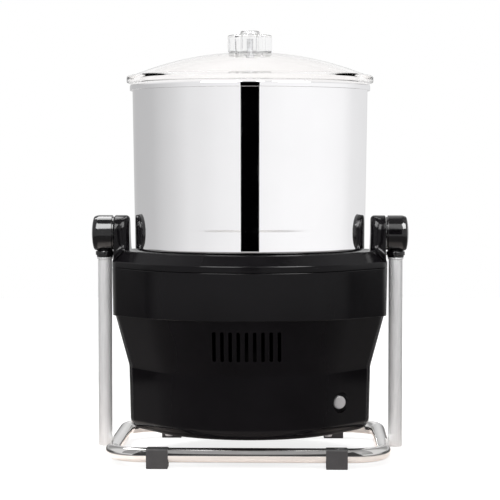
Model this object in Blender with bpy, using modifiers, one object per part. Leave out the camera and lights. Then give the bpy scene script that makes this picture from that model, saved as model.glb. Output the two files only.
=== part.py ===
"""Tilting table-top wet grinder: a bright tube stand carries a black moulded body on two pivots.
The body holds the motor, the belt drive and a turning steel drum with two granite rollers in it.
A clear lid with a lobed knob closes the drum.
Sizes are in metres; +Z is up, the front faces -Y, and the drum's axis is the Z axis."""
import math

import bmesh
import bpy
from mathutils import Matrix, Vector

mm = 0.001

# Driving sizes
body_half_width = 138.4 * mm
pivot_height = 222.9 * mm
bottom_height = 26.4 * mm
drum_height = 168.0 * mm
roller_outer_radius = 37.0 * mm
body_wall = 3.0 * mm
edge_round = 1.2 * mm

# Clearances that every piece shares
seat_gap = 0.3 * mm
overrun = 4.0 * mm
weld = 0.01 * mm

# Heights of the body, from the pivot down
cover_below_pivot = 18.9 * mm
cover_depth = 15.0 * mm
block_height = 49.6 * mm
slope_height = 49.4 * mm
bottom_round = 8.0 * mm
bottom_split_angle = math.radians(36)
cover_top = pivot_height - cover_below_pivot
parting_height = cover_top - cover_depth
block_foot_height = parting_height - block_height
slope_foot_height = block_foot_height - slope_height

# Half widths of the body
block_taper = 0.8 * mm
block_lip = 1.2 * mm
lower_width_share = 0.8786
bottom_draft = 1.2 * mm
block_foot_half_width = body_half_width - block_taper
lower_half_width = body_half_width * lower_width_share
bottom_half_width = lower_half_width - bottom_draft

# Heights of the drum and of the rollers in it
drum_above_cover = 2.0 * mm
bed_edge_height = 14.0 * mm
drum_floor = cover_top + drum_above_cover
drum_rim = drum_floor + drum_height
roller_height = drum_floor + bed_edge_height + roller_outer_radius

# Plan of the body: flat sides, slanting facets, bowed front and back
depth_share = 0.92
crease_width_share = 0.74
crease_depth_share = 0.59
corner_round_share = 0.075
bow_steps = 4

# Counts of facets
drum_sides = 32
round_sides = 16
small_sides = 12
pin_sides = 8


def clear_scene():
    for thing in list(bpy.data.objects):
        bpy.data.objects.remove(thing)


def new_collection(name):
    made = bpy.data.collections.new(name)
    bpy.context.scene.collection.children.link(made)
    return made


clear_scene()
grinder = new_collection("wet_grinder")
cutters = new_collection("cutters")


def principled(name, colour, roughness, metallic=0.0, transmission=0.0):
    made = bpy.data.materials.new(name)
    made.use_nodes = True
    shader = made.node_tree.nodes["Principled BSDF"]
    shader.inputs["Base Color"].default_value = (*colour, 1.0)
    shader.inputs["Roughness"].default_value = roughness
    shader.inputs["Metallic"].default_value = metallic
    shader.inputs["Transmission Weight"].default_value = transmission
    return made


def link(thing, finish=None):
    """Put a piece with the grinder, or a cutting shape, which has no finish, with the cutters."""
    if finish is None:
        cutters.objects.link(thing)
        thing.hide_render = True
        thing.display_type = "WIRE"
    else:
        grinder.objects.link(thing)
        thing.data.materials.clear()
        look = principled(thing.name, **finish)
        thing.data.materials.append(look)
    return thing


def from_bmesh(name, shape, finish=None):
    mesh = bpy.data.meshes.new(name)
    shape.to_mesh(mesh)
    shape.free()
    return link(bpy.data.objects.new(name, mesh), finish)


def turned(name, profile, sides, finish=None):
    """A turned piece about its own Z axis; the profile runs down the outer side, top to bottom."""
    mesh = bpy.data.meshes.new(name)
    points = [(radius, 0.0, height) for radius, height in profile]
    ring = profile[0][0] > 0
    count = len(points)
    edges = [(i, i + 1) for i in range(count - 1)]
    if ring:
        edges.append((count - 1, 0))
    mesh.from_pydata(points, edges, [])
    thing = link(bpy.data.objects.new(name, mesh), finish)
    spin = thing.modifiers.new("Turn", "SCREW")
    spin.angle = 2 * math.pi
    spin.steps = sides
    spin.render_steps = sides
    spin.use_merge_vertices = True
    spin.merge_threshold = weld
    return thing


def rod(name, radius, length, sides, finish=None):
    """A plain cylinder about its own Z axis, centred on its origin."""
    shape = bmesh.new()
    bmesh.ops.create_cone(shape, cap_ends=True, segments=sides, radius1=radius, radius2=radius,
                          depth=length)
    return from_bmesh(name, shape, finish)


def block(name, low, high, finish=None):
    """A box between two opposite corners, with its origin at its middle."""
    low, high = Vector(low), Vector(high)
    shape = bmesh.new()
    bmesh.ops.create_cube(shape, size=1.0)
    bmesh.ops.scale(shape, vec=high - low, verts=shape.verts)
    thing = from_bmesh(name, shape, finish)
    thing.location = (low + high) / 2
    return thing


def flat_plate(name, outlines, thickness, finish=None):
    """A flat outline with any holes, drawn as a filled 2D curve in XY and given its thickness."""
    curve = bpy.data.curves.new(name + "_outline", "CURVE")
    curve.dimensions = "2D"
    curve.fill_mode = "BOTH"
    curve.extrude = thickness / 2
    curve.resolution_u = 1
    for outline in outlines:
        spline = curve.splines.new("POLY")
        spline.points.add(len(outline) - 1)
        for point, (across, along) in zip(spline.points, outline):
            point.co = (across, along, 0.0, 1.0)
        spline.use_cyclic_u = True
    drawn = bpy.data.objects.new(name + "_outline", curve)
    cutters.objects.link(drawn)
    bpy.context.view_layer.update()
    depsgraph = bpy.context.evaluated_depsgraph_get()
    mesh = bpy.data.meshes.new_from_object(drawn.evaluated_get(depsgraph))
    bpy.data.objects.remove(drawn)
    shape = bmesh.new()
    shape.from_mesh(mesh)
    bmesh.ops.remove_doubles(shape, verts=shape.verts, dist=weld)
    bmesh.ops.recalc_face_normals(shape, faces=shape.faces)
    return from_bmesh(name, shape, finish)


def circle_points(radius, sides, centre=(0.0, 0.0), start=0.0):
    return [(centre[0] + radius * math.cos(start + 2 * math.pi * i / sides),
             centre[1] + radius * math.sin(start + 2 * math.pi * i / sides)) for i in range(sides)]


def loft(name, rings, finish=None, open_through=False):
    """Skin a stack of rings with equal counts; the ends are capped, or joined if it is open through."""
    shape = bmesh.new()
    rows = [[shape.verts.new(point) for point in ring] for ring in rings]
    pairs = list(zip(rows, rows[1:]))
    if open_through:
        pairs.append((rows[-1], rows[0]))
    else:
        shape.faces.new(rows[0])
        shape.faces.new(rows[-1][::-1])
    for upper, lower in pairs:
        count = len(upper)
        for i in range(count):
            j = (i + 1) % count
            shape.faces.new((upper[i], lower[i], lower[j], upper[j]))
    bmesh.ops.recalc_face_normals(shape, faces=shape.faces)
    return from_bmesh(name, shape, finish)


def combine(thing, other, operation):
    step = thing.modifiers.new(operation.title() + "_" + other.name, "BOOLEAN")
    step.operation = operation
    step.solver = "EXACT"
    step.object = other
    return thing


def cut(thing, *others):
    for other in others:
        combine(thing, other, "DIFFERENCE")
    return thing


def add(thing, *others):
    for other in others:
        combine(thing, other, "UNION")
    return thing


def soften(thing, width, segments=2, angle=40):
    step = thing.modifiers.new("Edge_round", "BEVEL")
    step.width = width
    step.segments = segments
    step.limit_method = "ANGLE"
    step.angle_limit = math.radians(angle)
    return thing


def joined(name, things):
    """One cutting shape from several that lie apart."""
    shape = bmesh.new()
    bpy.context.view_layer.update()
    depsgraph = bpy.context.evaluated_depsgraph_get()
    for thing in things:
        mesh = bpy.data.meshes.new_from_object(thing.evaluated_get(depsgraph))
        mesh.transform(thing.matrix_world)
        shape.from_mesh(mesh)
        bpy.data.objects.remove(thing)
    return from_bmesh(name, shape)


def place(thing, location, turn=None):
    """Set a piece's place; turn is a rotation about X, Y and Z."""
    thing.location = location
    if turn:
        thing.rotation_euler = turn
    return thing


def joint_empty(name, location, parent=None):
    thing = bpy.data.objects.new(name, None)
    grinder.objects.link(thing)
    bpy.context.view_layer.update()
    thing.location = location
    carry(thing, parent)
    return thing


def carry(thing, parent):
    if parent is None:
        return thing
    bpy.context.view_layer.update()
    thing.parent = parent
    thing.matrix_parent_inverse = parent.matrix_world.inverted()
    return thing


# Turns that lay a Z-axis piece along X, its top towards the side's outside, and along -Y
along_side = {1: (0.0, math.pi / 2, 0.0), -1: (0.0, -math.pi / 2, 0.0)}
sides_of_stand = {"left": -1, "right": 1}

# Finishes, read from the photograph
mirror_steel = dict(colour=(0.78, 0.78, 0.79), roughness=0.08, metallic=1.0)
satin_steel = dict(colour=(0.66, 0.66, 0.67), roughness=0.3, metallic=1.0)
chrome = dict(colour=(0.82, 0.81, 0.80), roughness=0.06, metallic=1.0)
zinc_steel = dict(colour=(0.55, 0.56, 0.58), roughness=0.38, metallic=1.0)
black_gloss = dict(colour=(0.012, 0.011, 0.013), roughness=0.16)
black_matte = dict(colour=(0.02, 0.02, 0.021), roughness=0.55)
foot_rubber = dict(colour=(0.05, 0.047, 0.05), roughness=0.7)
belt_rubber = dict(colour=(0.015, 0.015, 0.015), roughness=0.8)
clear_plastic = dict(colour=(0.95, 0.96, 0.97), roughness=0.04, transmission=1.0)
button_grey = dict(colour=(0.43, 0.42, 0.43), roughness=0.35)
granite = dict(colour=(0.16, 0.155, 0.15), roughness=0.65)
nylon = dict(colour=(0.72, 0.70, 0.64), roughness=0.5)
lamination = dict(colour=(0.25, 0.25, 0.27), roughness=0.5, metallic=0.8)
cast_alloy = dict(colour=(0.5, 0.5, 0.51), roughness=0.45, metallic=0.9)

# Joint axes
stand = joint_empty("stand_frame", (0.0, 0.0, 0.0))
tilt_axis = joint_empty("tilt_axis", (0.0, 0.0, pivot_height), stand)
drum_axis = joint_empty("drum_axis", (0.0, 0.0, parting_height), tilt_axis)


# Body plan
def body_ring(half_width, height):
    """The body's outline at one height: flat sides, facets that leave them, and arcs at front and back."""
    half_depth = half_width * depth_share
    crease_x = half_width * crease_width_share
    crease_y = half_depth * crease_depth_share
    bow = half_depth - crease_y
    bow_radius = (crease_x ** 2 + bow ** 2) / (2 * bow)
    swing = math.asin(crease_x / bow_radius)
    corner = Vector((half_width, crease_y - (half_width - crease_x) * math.tan(swing)))
    crease = Vector((crease_x, crease_y))
    reach = half_width * corner_round_share
    before = corner - Vector((0.0, reach))
    after = corner + (crease - corner).normalized() * reach
    quarter = [before, (before + 2 * corner + after) / 4, after, crease]
    for i in range(1, bow_steps):
        angle = swing * (1 - i / bow_steps)
        quarter.append(Vector((bow_radius * math.sin(angle),
                               half_depth - bow_radius * (1 - math.cos(angle)))))
    front = Vector((0.0, half_depth))
    half = quarter + [front] + [Vector((-p.x, p.y)) for p in reversed(quarter)]
    ring = half + [-p for p in half]
    return [(p.x, p.y, height) for p in ring]


def body_half_width_at(height):
    """Half the outer width of the sloped and lower body between the named heights."""
    top, foot = block_foot_half_width - block_lip * 2, lower_half_width
    if height > slope_foot_height:
        share = (height - slope_foot_height) / (block_foot_height - slope_foot_height)
        return foot + (top - foot) * share
    share = (slope_foot_height - height) / (slope_foot_height - bottom_height - bottom_round)
    return foot + (bottom_half_width - foot) * share


def bottom_round_point(angle):
    """Half width and height on the bottom's round, at an angle from 0 at the wall to a right angle."""
    return (bottom_half_width - bottom_round * (1 - math.cos(angle)),
            bottom_height + bottom_round * (1 - math.sin(angle)))


slope_blend = 4.0 * mm
outer_levels = [
    (body_half_width, parting_height),
    (block_foot_half_width, block_foot_height + edge_round),
    (block_foot_half_width - edge_round / 2, block_foot_height),
    (block_foot_half_width - block_lip * 2, block_foot_height - edge_round / 2),
    (body_half_width_at(slope_foot_height + slope_blend), slope_foot_height + slope_blend),
    (body_half_width_at(slope_foot_height - slope_blend), slope_foot_height - slope_blend),
    bottom_round_point(0.0),
    bottom_round_point(bottom_split_angle / 2),
    bottom_round_point(bottom_split_angle),
]
inner_levels = [
    (outer_levels[8][0] - body_wall, outer_levels[8][1]),
    (outer_levels[6][0] - body_wall, outer_levels[6][1]),
    (outer_levels[5][0] - body_wall, outer_levels[5][1]),
    (outer_levels[4][0] - body_wall, outer_levels[4][1]),
    (outer_levels[3][0] - body_wall, outer_levels[3][1]),
    (body_half_width - body_wall, parting_height),
]

# Stand: base loop
upright_radius = 7.0 * mm
upright_wall = 1.2 * mm
upright_side_gap = 2.0 * mm
upright_x = body_half_width + upright_side_gap + upright_radius
loop_radius = 7.15 * mm
foot_sole = 5.25 * mm
loop_height = foot_sole + loop_radius
loop_half_width = upright_x - upright_radius - seat_gap - loop_radius
loop_depth_share = 0.7587
loop_half_depth = body_half_width * loop_depth_share
loop_corner = 34.0 * mm
loop_corner_steps = 4


def loop_path():
    """The tube's centre line: four straights joined by quarter bends."""
    points = []
    middles = ((1, 1), (-1, 1), (-1, -1), (1, -1))
    for quarter, (across, along) in enumerate(middles):
        middle = (across * (loop_half_width - loop_corner), along * (loop_half_depth - loop_corner))
        for i in range(loop_corner_steps + 1):
            angle = math.pi / 2 * (quarter + i / loop_corner_steps)
            points.append((middle[0] + loop_corner * math.cos(angle),
                           middle[1] + loop_corner * math.sin(angle)))
    return points


curve = bpy.data.curves.new("base_loop", "CURVE")
curve.dimensions = "3D"
curve.bevel_depth = loop_radius
curve.bevel_resolution = 3
curve.resolution_u = 1
spline = curve.splines.new("POLY")
path = loop_path()
spline.points.add(len(path) - 1)
for point, (across, along) in zip(spline.points, path):
    point.co = (across, along, 0.0, 1.0)
spline.use_cyclic_u = True
base_loop = link(bpy.data.objects.new("base_loop", curve), chrome)
carry(place(base_loop, (0.0, 0.0, loop_height)), stand)

# Stand: rubber feet, blocks that wrap the front and rear tubes
foot_width = 20.9 * mm
foot_depth = 19.0 * mm
foot_top = 19.2 * mm
foot_from_bend = 2.0 * mm
foot_x = loop_half_width - loop_corner - foot_width / 2 - foot_from_bend
foot_edge = 1.2 * mm
for along_name, along in (("front", -1), ("rear", 1)):
    for side_name, side in sides_of_stand.items():
        name = f"foot_{along_name}_{side_name}"
        middle_y = along * loop_half_depth
        low = (side * foot_x - foot_width / 2, middle_y - foot_depth / 2, 0.0)
        high = (side * foot_x + foot_width / 2, middle_y + foot_depth / 2, foot_top)
        foot = block(name, low, high, foot_rubber)
        soften(foot, foot_edge, 1)
        bore = rod(name + "_bore", loop_radius + seat_gap, foot_width + 2 * overrun, small_sides)
        place(bore, (side * foot_x, middle_y, loop_height), along_side[1])
        cut(foot, bore)
        carry(foot, stand)

# Stand: pivot hubs, the uprights they stand on, collars and trunnion pins
hub_radius = 18.2 * mm
hub_step_radius = 16.8 * mm
hub_step = 1.6 * mm
hub_dome = 2.6 * mm
hub_dome_shares = ((0.60, 0.3), (0.90, 1.0), (1.0, 2.2))
hub_past_upright = 12.9 * mm
ear_inset = 1.4 * mm
hub_face_gap = 0.6 * mm
hub_outer_x = upright_x + hub_past_upright
ear_outer_x = body_half_width - ear_inset
hub_length = hub_outer_x - ear_outer_x - hub_face_gap
pin_radius = 6.0 * mm
pin_hub_depth = 15.0 * mm
pin_ear_depth = 12.5 * mm
spigot_radius = upright_radius - upright_wall - seat_gap
spigot_length = 16.0 * mm
upright_foot = 6.5 * mm
upright_top = pivot_height - hub_radius - seat_gap
upright_cap = 2.0 * mm
collar_radius = 9.4 * mm
collar_low_radius = 8.3 * mm
collar_rise = 1.8 * mm
collar_height = 5.9 * mm
collar_ring = 2.0 * mm
collar_top = pivot_height - hub_radius + collar_rise
collar_step = collar_top - collar_height
collar_foot = collar_step - collar_ring

for side_name, side in sides_of_stand.items():
    hub_x = side * (ear_outer_x + hub_face_gap)
    # The hub's own Z axis runs outward along the pivot, from the face by the ear
    dome_end = [(hub_radius * across, hub_length - hub_dome * down) for across, down in hub_dome_shares]
    hub = turned("pivot_hub_" + side_name, [(0.0, hub_length)] + dome_end + [
        (hub_radius, hub_step),
        (hub_step_radius, hub_step),
        (hub_step_radius, 0.0),
        (0.0, 0.0),
    ], round_sides, black_gloss)
    place(hub, (hub_x, 0.0, pivot_height), along_side[side])
    spigot_top = pivot_height - hub_radius + overrun
    spigot_foot = upright_top - spigot_length
    spigot = rod(f"hub_spigot_{side_name}", spigot_radius, spigot_top - spigot_foot, pin_sides)
    place(spigot, (side * upright_x, 0.0, (spigot_top + spigot_foot) / 2))
    pin_hole = rod(f"hub_pin_hole_{side_name}", pin_radius + seat_gap, 2 * (pin_hub_depth + seat_gap),
                   small_sides)
    place(pin_hole, (hub_x, 0.0, pivot_height), along_side[side])
    add(hub, spigot)
    cut(hub, pin_hole)
    carry(hub, stand)

    inside = upright_radius - upright_wall
    upright = turned("upright_" + side_name, [
        (0.0, upright_foot + upright_cap),
        (inside, upright_foot + upright_cap),
        (inside, upright_top),
        (upright_radius, upright_top),
        (upright_radius, upright_foot + edge_round),
        (upright_radius - edge_round, upright_foot),
        (0.0, upright_foot),
    ], small_sides, satin_steel)
    carry(place(upright, (side * upright_x, 0.0, 0.0)), stand)

    collar_bore = upright_radius + seat_gap
    collar = turned("collar_" + side_name, [
        (collar_radius, collar_top),
        (collar_radius, collar_step),
        (collar_low_radius, collar_step),
        (collar_low_radius, collar_foot),
        (collar_bore, collar_foot),
        (collar_bore, collar_top),
    ], small_sides, black_gloss)
    place(collar, (side * upright_x, 0.0, 0.0))
    saddle = rod("collar_saddle_" + side_name, hub_radius + seat_gap, 2 * (collar_radius + overrun),
                 round_sides)
    place(saddle, (side * upright_x, 0.0, pivot_height), along_side[side])
    cut(collar, saddle)
    carry(collar, stand)

    pin = rod("trunnion_pin_" + side_name, pin_radius, pin_hub_depth + hub_face_gap + pin_ear_depth,
              small_sides, satin_steel)
    soften(pin, edge_round / 2, 1)
    pin_middle = ear_outer_x + hub_face_gap + (pin_hub_depth - hub_face_gap - pin_ear_depth) / 2
    carry(place(pin, (side * pin_middle, 0.0, pivot_height), along_side[side]), stand)

# Body: top cover, a moulded dish turned over, with the ears, a drip lip and four posts moulded on
cover_flat_share = 0.80
cover_slope_share = 0.91
cover_shoulder_share = 0.973
cover_slope_drop = 1.4 * mm
cover_shoulder_drop = 4.6 * mm
cover_edge_drop = 9.6 * mm
cover_foot = parting_height + seat_gap
cover_levels = [
    (body_half_width * cover_flat_share, cover_top),
    (body_half_width * cover_slope_share, cover_top - cover_slope_drop),
    (body_half_width * cover_shoulder_share, cover_top - cover_shoulder_drop),
    (body_half_width - edge_round / 2, cover_top - cover_edge_drop),
    (body_half_width, cover_foot),
]
cover_inside_levels = [
    (body_half_width - body_wall, cover_foot),
    (body_half_width - body_wall, cover_top - cover_edge_drop - edge_round),
    (body_half_width * cover_slope_share, cover_top - cover_slope_drop - body_wall),
    (body_half_width * cover_flat_share, cover_top - body_wall),
]
top_cover = loft("top_cover", [body_ring(*level) for level in cover_levels + cover_inside_levels],
                 black_gloss)

ear_radius = hub_radius
ear_top_thickness = 13.4 * mm
ear_foot_thickness = 14.8 * mm
ear_inner_top_x = ear_outer_x - ear_top_thickness
ear_inner_foot_x = ear_outer_x - ear_foot_thickness
ear_foot_spread = 3.0 * mm
ear_foot_share = 0.75
ear_foot = cover_top - cover_edge_drop * ear_foot_share
ear_steps = 9
ear_edge = 1.6 * mm
bush_wall = 2.4 * mm
bush_radius = pin_radius + seat_gap + bush_wall
bush_seat_depth = pin_ear_depth + 2 * seat_gap
for side_name, side in sides_of_stand.items():
    # The ear's outline stands in the YZ plane: a round head on slightly spread flanks
    turns = [math.pi * i / ear_steps for i in range(ear_steps + 1)]
    head = [(ear_radius * math.cos(turn), pivot_height + ear_radius * math.sin(turn)) for turn in turns]
    flank = ear_radius + ear_foot_spread
    rings = []
    for x_foot, x_top in ((ear_outer_x, ear_outer_x), (ear_inner_foot_x, ear_inner_top_x)):
        ring = []
        for y, z in head + [(-flank, ear_foot), (flank, ear_foot)]:
            rise = (z - ear_foot) / (pivot_height + ear_radius - ear_foot)
            ring.append((side * (x_foot + (x_top - x_foot) * rise), y, z))
        rings.append(ring)
    ear = soften(loft("ear_" + side_name, rings), ear_edge, 1, 50)
    ear_bore = rod("ear_bore_" + side_name, bush_radius + seat_gap, 2 * bush_seat_depth, small_sides)
    place(ear_bore, (side * ear_outer_x, 0.0, pivot_height), along_side[side])
    add(top_cover, ear)
    cut(top_cover, ear_bore)

    bush = turned("pivot_bush_" + side_name, [
        (bush_radius, ear_outer_x),
        (bush_radius, ear_outer_x - bush_seat_depth + seat_gap),
        (pin_radius + seat_gap, ear_outer_x - bush_seat_depth + seat_gap),
        (pin_radius + seat_gap, ear_outer_x),
    ], small_sides, nylon)
    carry(place(bush, (0.0, 0.0, pivot_height), along_side[side]), tilt_axis)

hub_hole_radius = 34.0 * mm
lip_wall = 3.0 * mm
lip_height = 1.0 * mm
lip = turned("drip_lip", [
    (hub_hole_radius + lip_wall, cover_top + lip_height),
    (hub_hole_radius + lip_wall, cover_top - body_wall / 2),
    (hub_hole_radius - overrun / 2, cover_top - body_wall / 2),
    (hub_hole_radius - overrun / 2, cover_top + lip_height),
], round_sides)
hub_hole = rod("hub_hole", hub_hole_radius, 2 * overrun + body_wall, round_sides)
place(hub_hole, (0.0, 0.0, cover_top))

# The chassis stack hangs under the cover's posts: post, housing lug, plate, screw head
post_x_share = 0.607
post_y_share = 0.408
post_radius = 5.5 * mm
plate_below_parting = 39.5 * mm
plate_top = parting_height - plate_below_parting
plate_thickness = 2.5 * mm
lug_thickness = 3.0 * mm
lug_foot = plate_top + seat_gap
post_foot = lug_foot + lug_thickness + seat_gap
screw_radius = 2.0 * mm
screw_hole_radius = screw_radius + seat_gap
screw_head_radius = 4.2 * mm
screw_head_height = 2.4 * mm
screw_head_taper = 0.8 * mm
screw_grip = 14.0 * mm
corners = [(across, along) for across in (-1, 1) for along in (-1, 1)]
post_places = [(across * body_half_width * post_x_share, along * body_half_width * post_y_share)
               for across, along in corners]
posts, pilot_holes = [], []
for x, y in post_places:
    post_head = cover_top - body_wall / 2 - cover_slope_drop
    posts.append(place(rod("post", post_radius, post_head - post_foot, pin_sides),
                       (x, y, (post_head + post_foot) / 2)))
    pilot_holes.append(place(rod("pilot", screw_hole_radius, 2 * (screw_grip + seat_gap), pin_sides),
                             (x, y, post_foot)))
cover_posts = joined("cover_posts", posts)
cover_pilots = joined("cover_pilot_holes", pilot_holes)
add(top_cover, lip, cover_posts)
cut(top_cover, hub_hole, cover_pilots)
carry(top_cover, tilt_axis)

# Body: main housing, a moulded shell open at top and bottom
housing = loft("main_housing", [body_ring(*level) for level in outer_levels + inner_levels],
               black_gloss, open_through=True)
clip = loft("housing_form", [body_ring(half - body_wall / 2, height) for half, height in outer_levels])

# Switch seat: a round pad in the lower front, its axis turned towards the right
button_height_share = 0.5238
button_x_share = 0.736
button_height = bottom_height + (slope_foot_height - bottom_height) * button_height_share
button_x = lower_half_width * button_x_share
button_yaw = math.radians(20)
seat_radius = 10.1 * mm
seat_wall = 3.4 * mm
seat_depth = 7.5 * mm
seat_floor = 4.0 * mm
button_radius = 6.45 * mm
switch_wall = 1.4 * mm
switch_body_radius = button_radius + seat_gap + switch_wall
bezel_radius = seat_radius - seat_gap
bezel_height = 2.0 * mm
out_direction = Vector((math.sin(button_yaw), -math.cos(button_yaw), 0.0))
along_button = (math.pi / 2, 0.0, button_yaw)


def housing_front_y(x, height):
    """Y of the lower body's bowed front at a place across it."""
    half_width = body_half_width_at(height)
    half_depth = half_width * depth_share
    crease_x, crease_y = half_width * crease_width_share, half_depth * crease_depth_share
    bow = half_depth - crease_y
    bow_radius = (crease_x ** 2 + bow ** 2) / (2 * bow)
    return -(half_depth - bow_radius + math.sqrt(bow_radius ** 2 - min(x, crease_x) ** 2))


seat_surface = Vector((button_x, housing_front_y(button_x, button_height), button_height))
seat_place = seat_surface - out_direction * seat_depth


def on_button_axis(distance):
    return seat_place + out_direction * distance


pad_length = seat_floor + seat_depth + seat_radius * 2
pad = place(rod("switch_pad", seat_radius + seat_wall, pad_length, small_sides),
            on_button_axis(pad_length / 2 - seat_floor), along_button)

# Lugs that the chassis plate is screwed under, and pillars for the bottom cover's screws
lug_half_width = 8.0 * mm
lug_length_share = 0.3324
lug_length = body_half_width * lug_length_share
inner_parts = [pad]
for (x, y), (across, along) in zip(post_places, corners):
    away = Vector((x, y)).normalized()
    middle = Vector((x, y)) + away * (lug_length / 2 - lug_half_width)
    lug = block("lug", (-lug_length / 2, -lug_half_width, lug_foot),
                (lug_length / 2, lug_half_width, lug_foot + lug_thickness))
    lug.location.x, lug.location.y = middle
    lug.rotation_euler.z = math.atan2(y, x)
    inner_parts.append(lug)

pillar_x_share = 0.655
pillar_y_share = 0.44
pillar_x = bottom_half_width * pillar_x_share
pillar_y = bottom_half_width * pillar_y_share
pillar_radius = 5.2 * mm
pillar_foot = bottom_height + body_wall + seat_gap + edge_round
pillar_length = 34.0 * mm
pillar_places = [(across * pillar_x, along * pillar_y) for across, along in corners]
for x, y in pillar_places:
    inner_parts.append(place(rod("pillar", pillar_radius, pillar_length, pin_sides),
                             (x, y, pillar_foot + pillar_length / 2)))
inner_form = joined("housing_inner_parts", inner_parts)
webs = []
web_half = 1.4 * mm
web_length_share = 0.25
web_length = bottom_half_width * web_length_share
for x, y in pillar_places:
    away = Vector((x, y)).normalized()
    middle = Vector((x, y)) + away * web_length / 2
    web = block("web", (-web_length / 2, -web_half, pillar_foot + edge_round),
                (web_length / 2, web_half, pillar_foot + pillar_length - edge_round))
    web.location.x, web.location.y = middle
    web.rotation_euler.z = math.atan2(y, x)
    webs.append(web)
web_form = joined("pillar_webs", webs)
add(inner_form, web_form)
combine(inner_form, clip, "INTERSECT")
add(housing, inner_form)

# Vent slots in the sloped front
slot_count = 9
slot_pitch = 7.84 * mm
slot_width = 3.4 * mm
slot_foot_rise = 13.6 * mm
slot_top_drop = 7.0 * mm
slot_foot = slope_foot_height + slot_foot_rise
slot_top = block_foot_height - slot_top_drop
slot_depth = 26.0 * mm
slots = []
for i in range(slot_count):
    x = (i - (slot_count - 1) / 2) * slot_pitch
    front = housing_front_y(x, slot_foot)
    slot = block("slot", (x - slot_width / 2, front - slot_depth / 2, slot_foot),
                 (x + slot_width / 2, front + slot_depth / 2, slot_top))
    slots.append(slot)
slot_cut = joined("vent_slots", slots)
pocket_length = seat_depth + seat_radius * 2
pocket = place(rod("switch_pocket", seat_radius, pocket_length, round_sides),
               on_button_axis(pocket_length / 2), along_button)
through = place(rod("switch_hole", switch_body_radius + seat_gap, 2 * pocket_length, small_sides),
                on_button_axis(0.0), along_button)


def screw_holes(name, places, height, length):
    """Holes for screws at several places, each centred on one height."""
    return joined(name, [place(rod("hole", screw_hole_radius, length, pin_sides), (x, y, height))
                         for x, y in places])


lug_holes = screw_holes("lug_holes", post_places, lug_foot, 2 * (lug_thickness + overrun))
pillar_holes = screw_holes("pillar_holes", pillar_places, pillar_foot, 2 * (screw_grip + seat_gap))

# Cord gland in the rear wall, low down
gland_rise = 23.0 * mm
gland_height = bottom_height + gland_rise
gland_neck_radius = 5.5 * mm
gland_flange_radius = 8.5 * mm
gland_bore_radius = 3.4 * mm
gland_flange = 2.0 * mm
gland_reach = 1.2 * mm
rear_y = -housing_front_y(0.0, gland_height)
gland_hole = rod("gland_hole", gland_neck_radius + seat_gap, 2 * (body_wall + overrun), small_sides)
place(gland_hole, (0.0, rear_y, gland_height), (-math.pi / 2, 0.0, 0.0))
cut(housing, slot_cut, pocket, through, lug_holes, pillar_holes, gland_hole)
carry(housing, tilt_axis)

gland_face = seat_gap + gland_reach / 4
gland_inner_face = -body_wall - 2 * gland_face
cord_gland = turned("cord_gland", [
    (gland_flange_radius, gland_face + gland_flange),
    (gland_flange_radius, gland_face),
    (gland_neck_radius, gland_face),
    (gland_neck_radius, gland_inner_face),
    (gland_neck_radius + gland_reach, gland_inner_face),
    (gland_neck_radius + gland_reach, gland_inner_face - gland_flange),
    (gland_bore_radius, gland_inner_face - gland_flange),
    (gland_bore_radius, gland_face + gland_flange),
], small_sides, black_matte)
carry(place(cord_gland, (0.0, rear_y, gland_height), (-math.pi / 2, 0.0, 0.0)), tilt_axis)

# Body: bottom cover, a shallow dish with vents, and its screws
bottom_angle_shares = (0.0, 0.5, 1.0)
split_gap_angle = seat_gap / bottom_round
bottom_start = bottom_split_angle + split_gap_angle
bottom_levels = [bottom_round_point(bottom_start + (math.pi / 2 - bottom_start) * share)
                 for share in bottom_angle_shares]
bottom_inside_levels = [
    (bottom_levels[1][0] - body_wall, bottom_height + body_wall),
    (bottom_levels[0][0] - body_wall, bottom_levels[0][1]),
]
bottom_cover = loft("bottom_cover", [body_ring(*level) for level in
                                     bottom_levels[::-1] + bottom_inside_levels[::-1]], black_matte)
vent_count = 6
vent_pitch = 11.0 * mm
vent_width = 4.0 * mm
vent_length = 46.0 * mm
vent_middle_y = 34.0 * mm
vents = []
for along in (-1, 1):
    for i in range(vent_count):
        x = (i - (vent_count - 1) / 2) * vent_pitch
        y = along * vent_middle_y
        low = (x - vent_width / 2, y - vent_length / 2, bottom_height - overrun)
        high = (x + vent_width / 2, y + vent_length / 2, bottom_height + body_wall + overrun)
        vents.append(block("vent", low, high))
vent_cut = joined("bottom_vents", vents)
bottom_holes = screw_holes("bottom_screw_holes", pillar_places, bottom_height, 2 * (body_wall + overrun))
cut(bottom_cover, vent_cut, bottom_holes)
carry(bottom_cover, tilt_axis)


def pan_screw(name, x, y, seat, length):
    """A screw driven upward: its head lies just under the seat height."""
    screw = turned(name, [
        (0.0, seat + length),
        (screw_radius, seat + length),
        (screw_radius, seat - seat_gap),
        (screw_head_radius, seat - seat_gap),
        (screw_head_radius - screw_head_taper, seat - seat_gap - screw_head_height),
        (0.0, seat - seat_gap - screw_head_height),
    ], pin_sides, zinc_steel)
    return carry(place(screw, (x, y, 0.0)), tilt_axis)


for number, (x, y) in enumerate(pillar_places, 1):
    pan_screw(f"bottom_screw_{number}", x, y, bottom_height, body_wall + screw_grip)
plate_foot = plate_top - plate_thickness
for number, (x, y) in enumerate(post_places, 1):
    pan_screw(f"chassis_screw_{number}", x, y, plate_foot,
              plate_thickness + lug_thickness + screw_grip)

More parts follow.
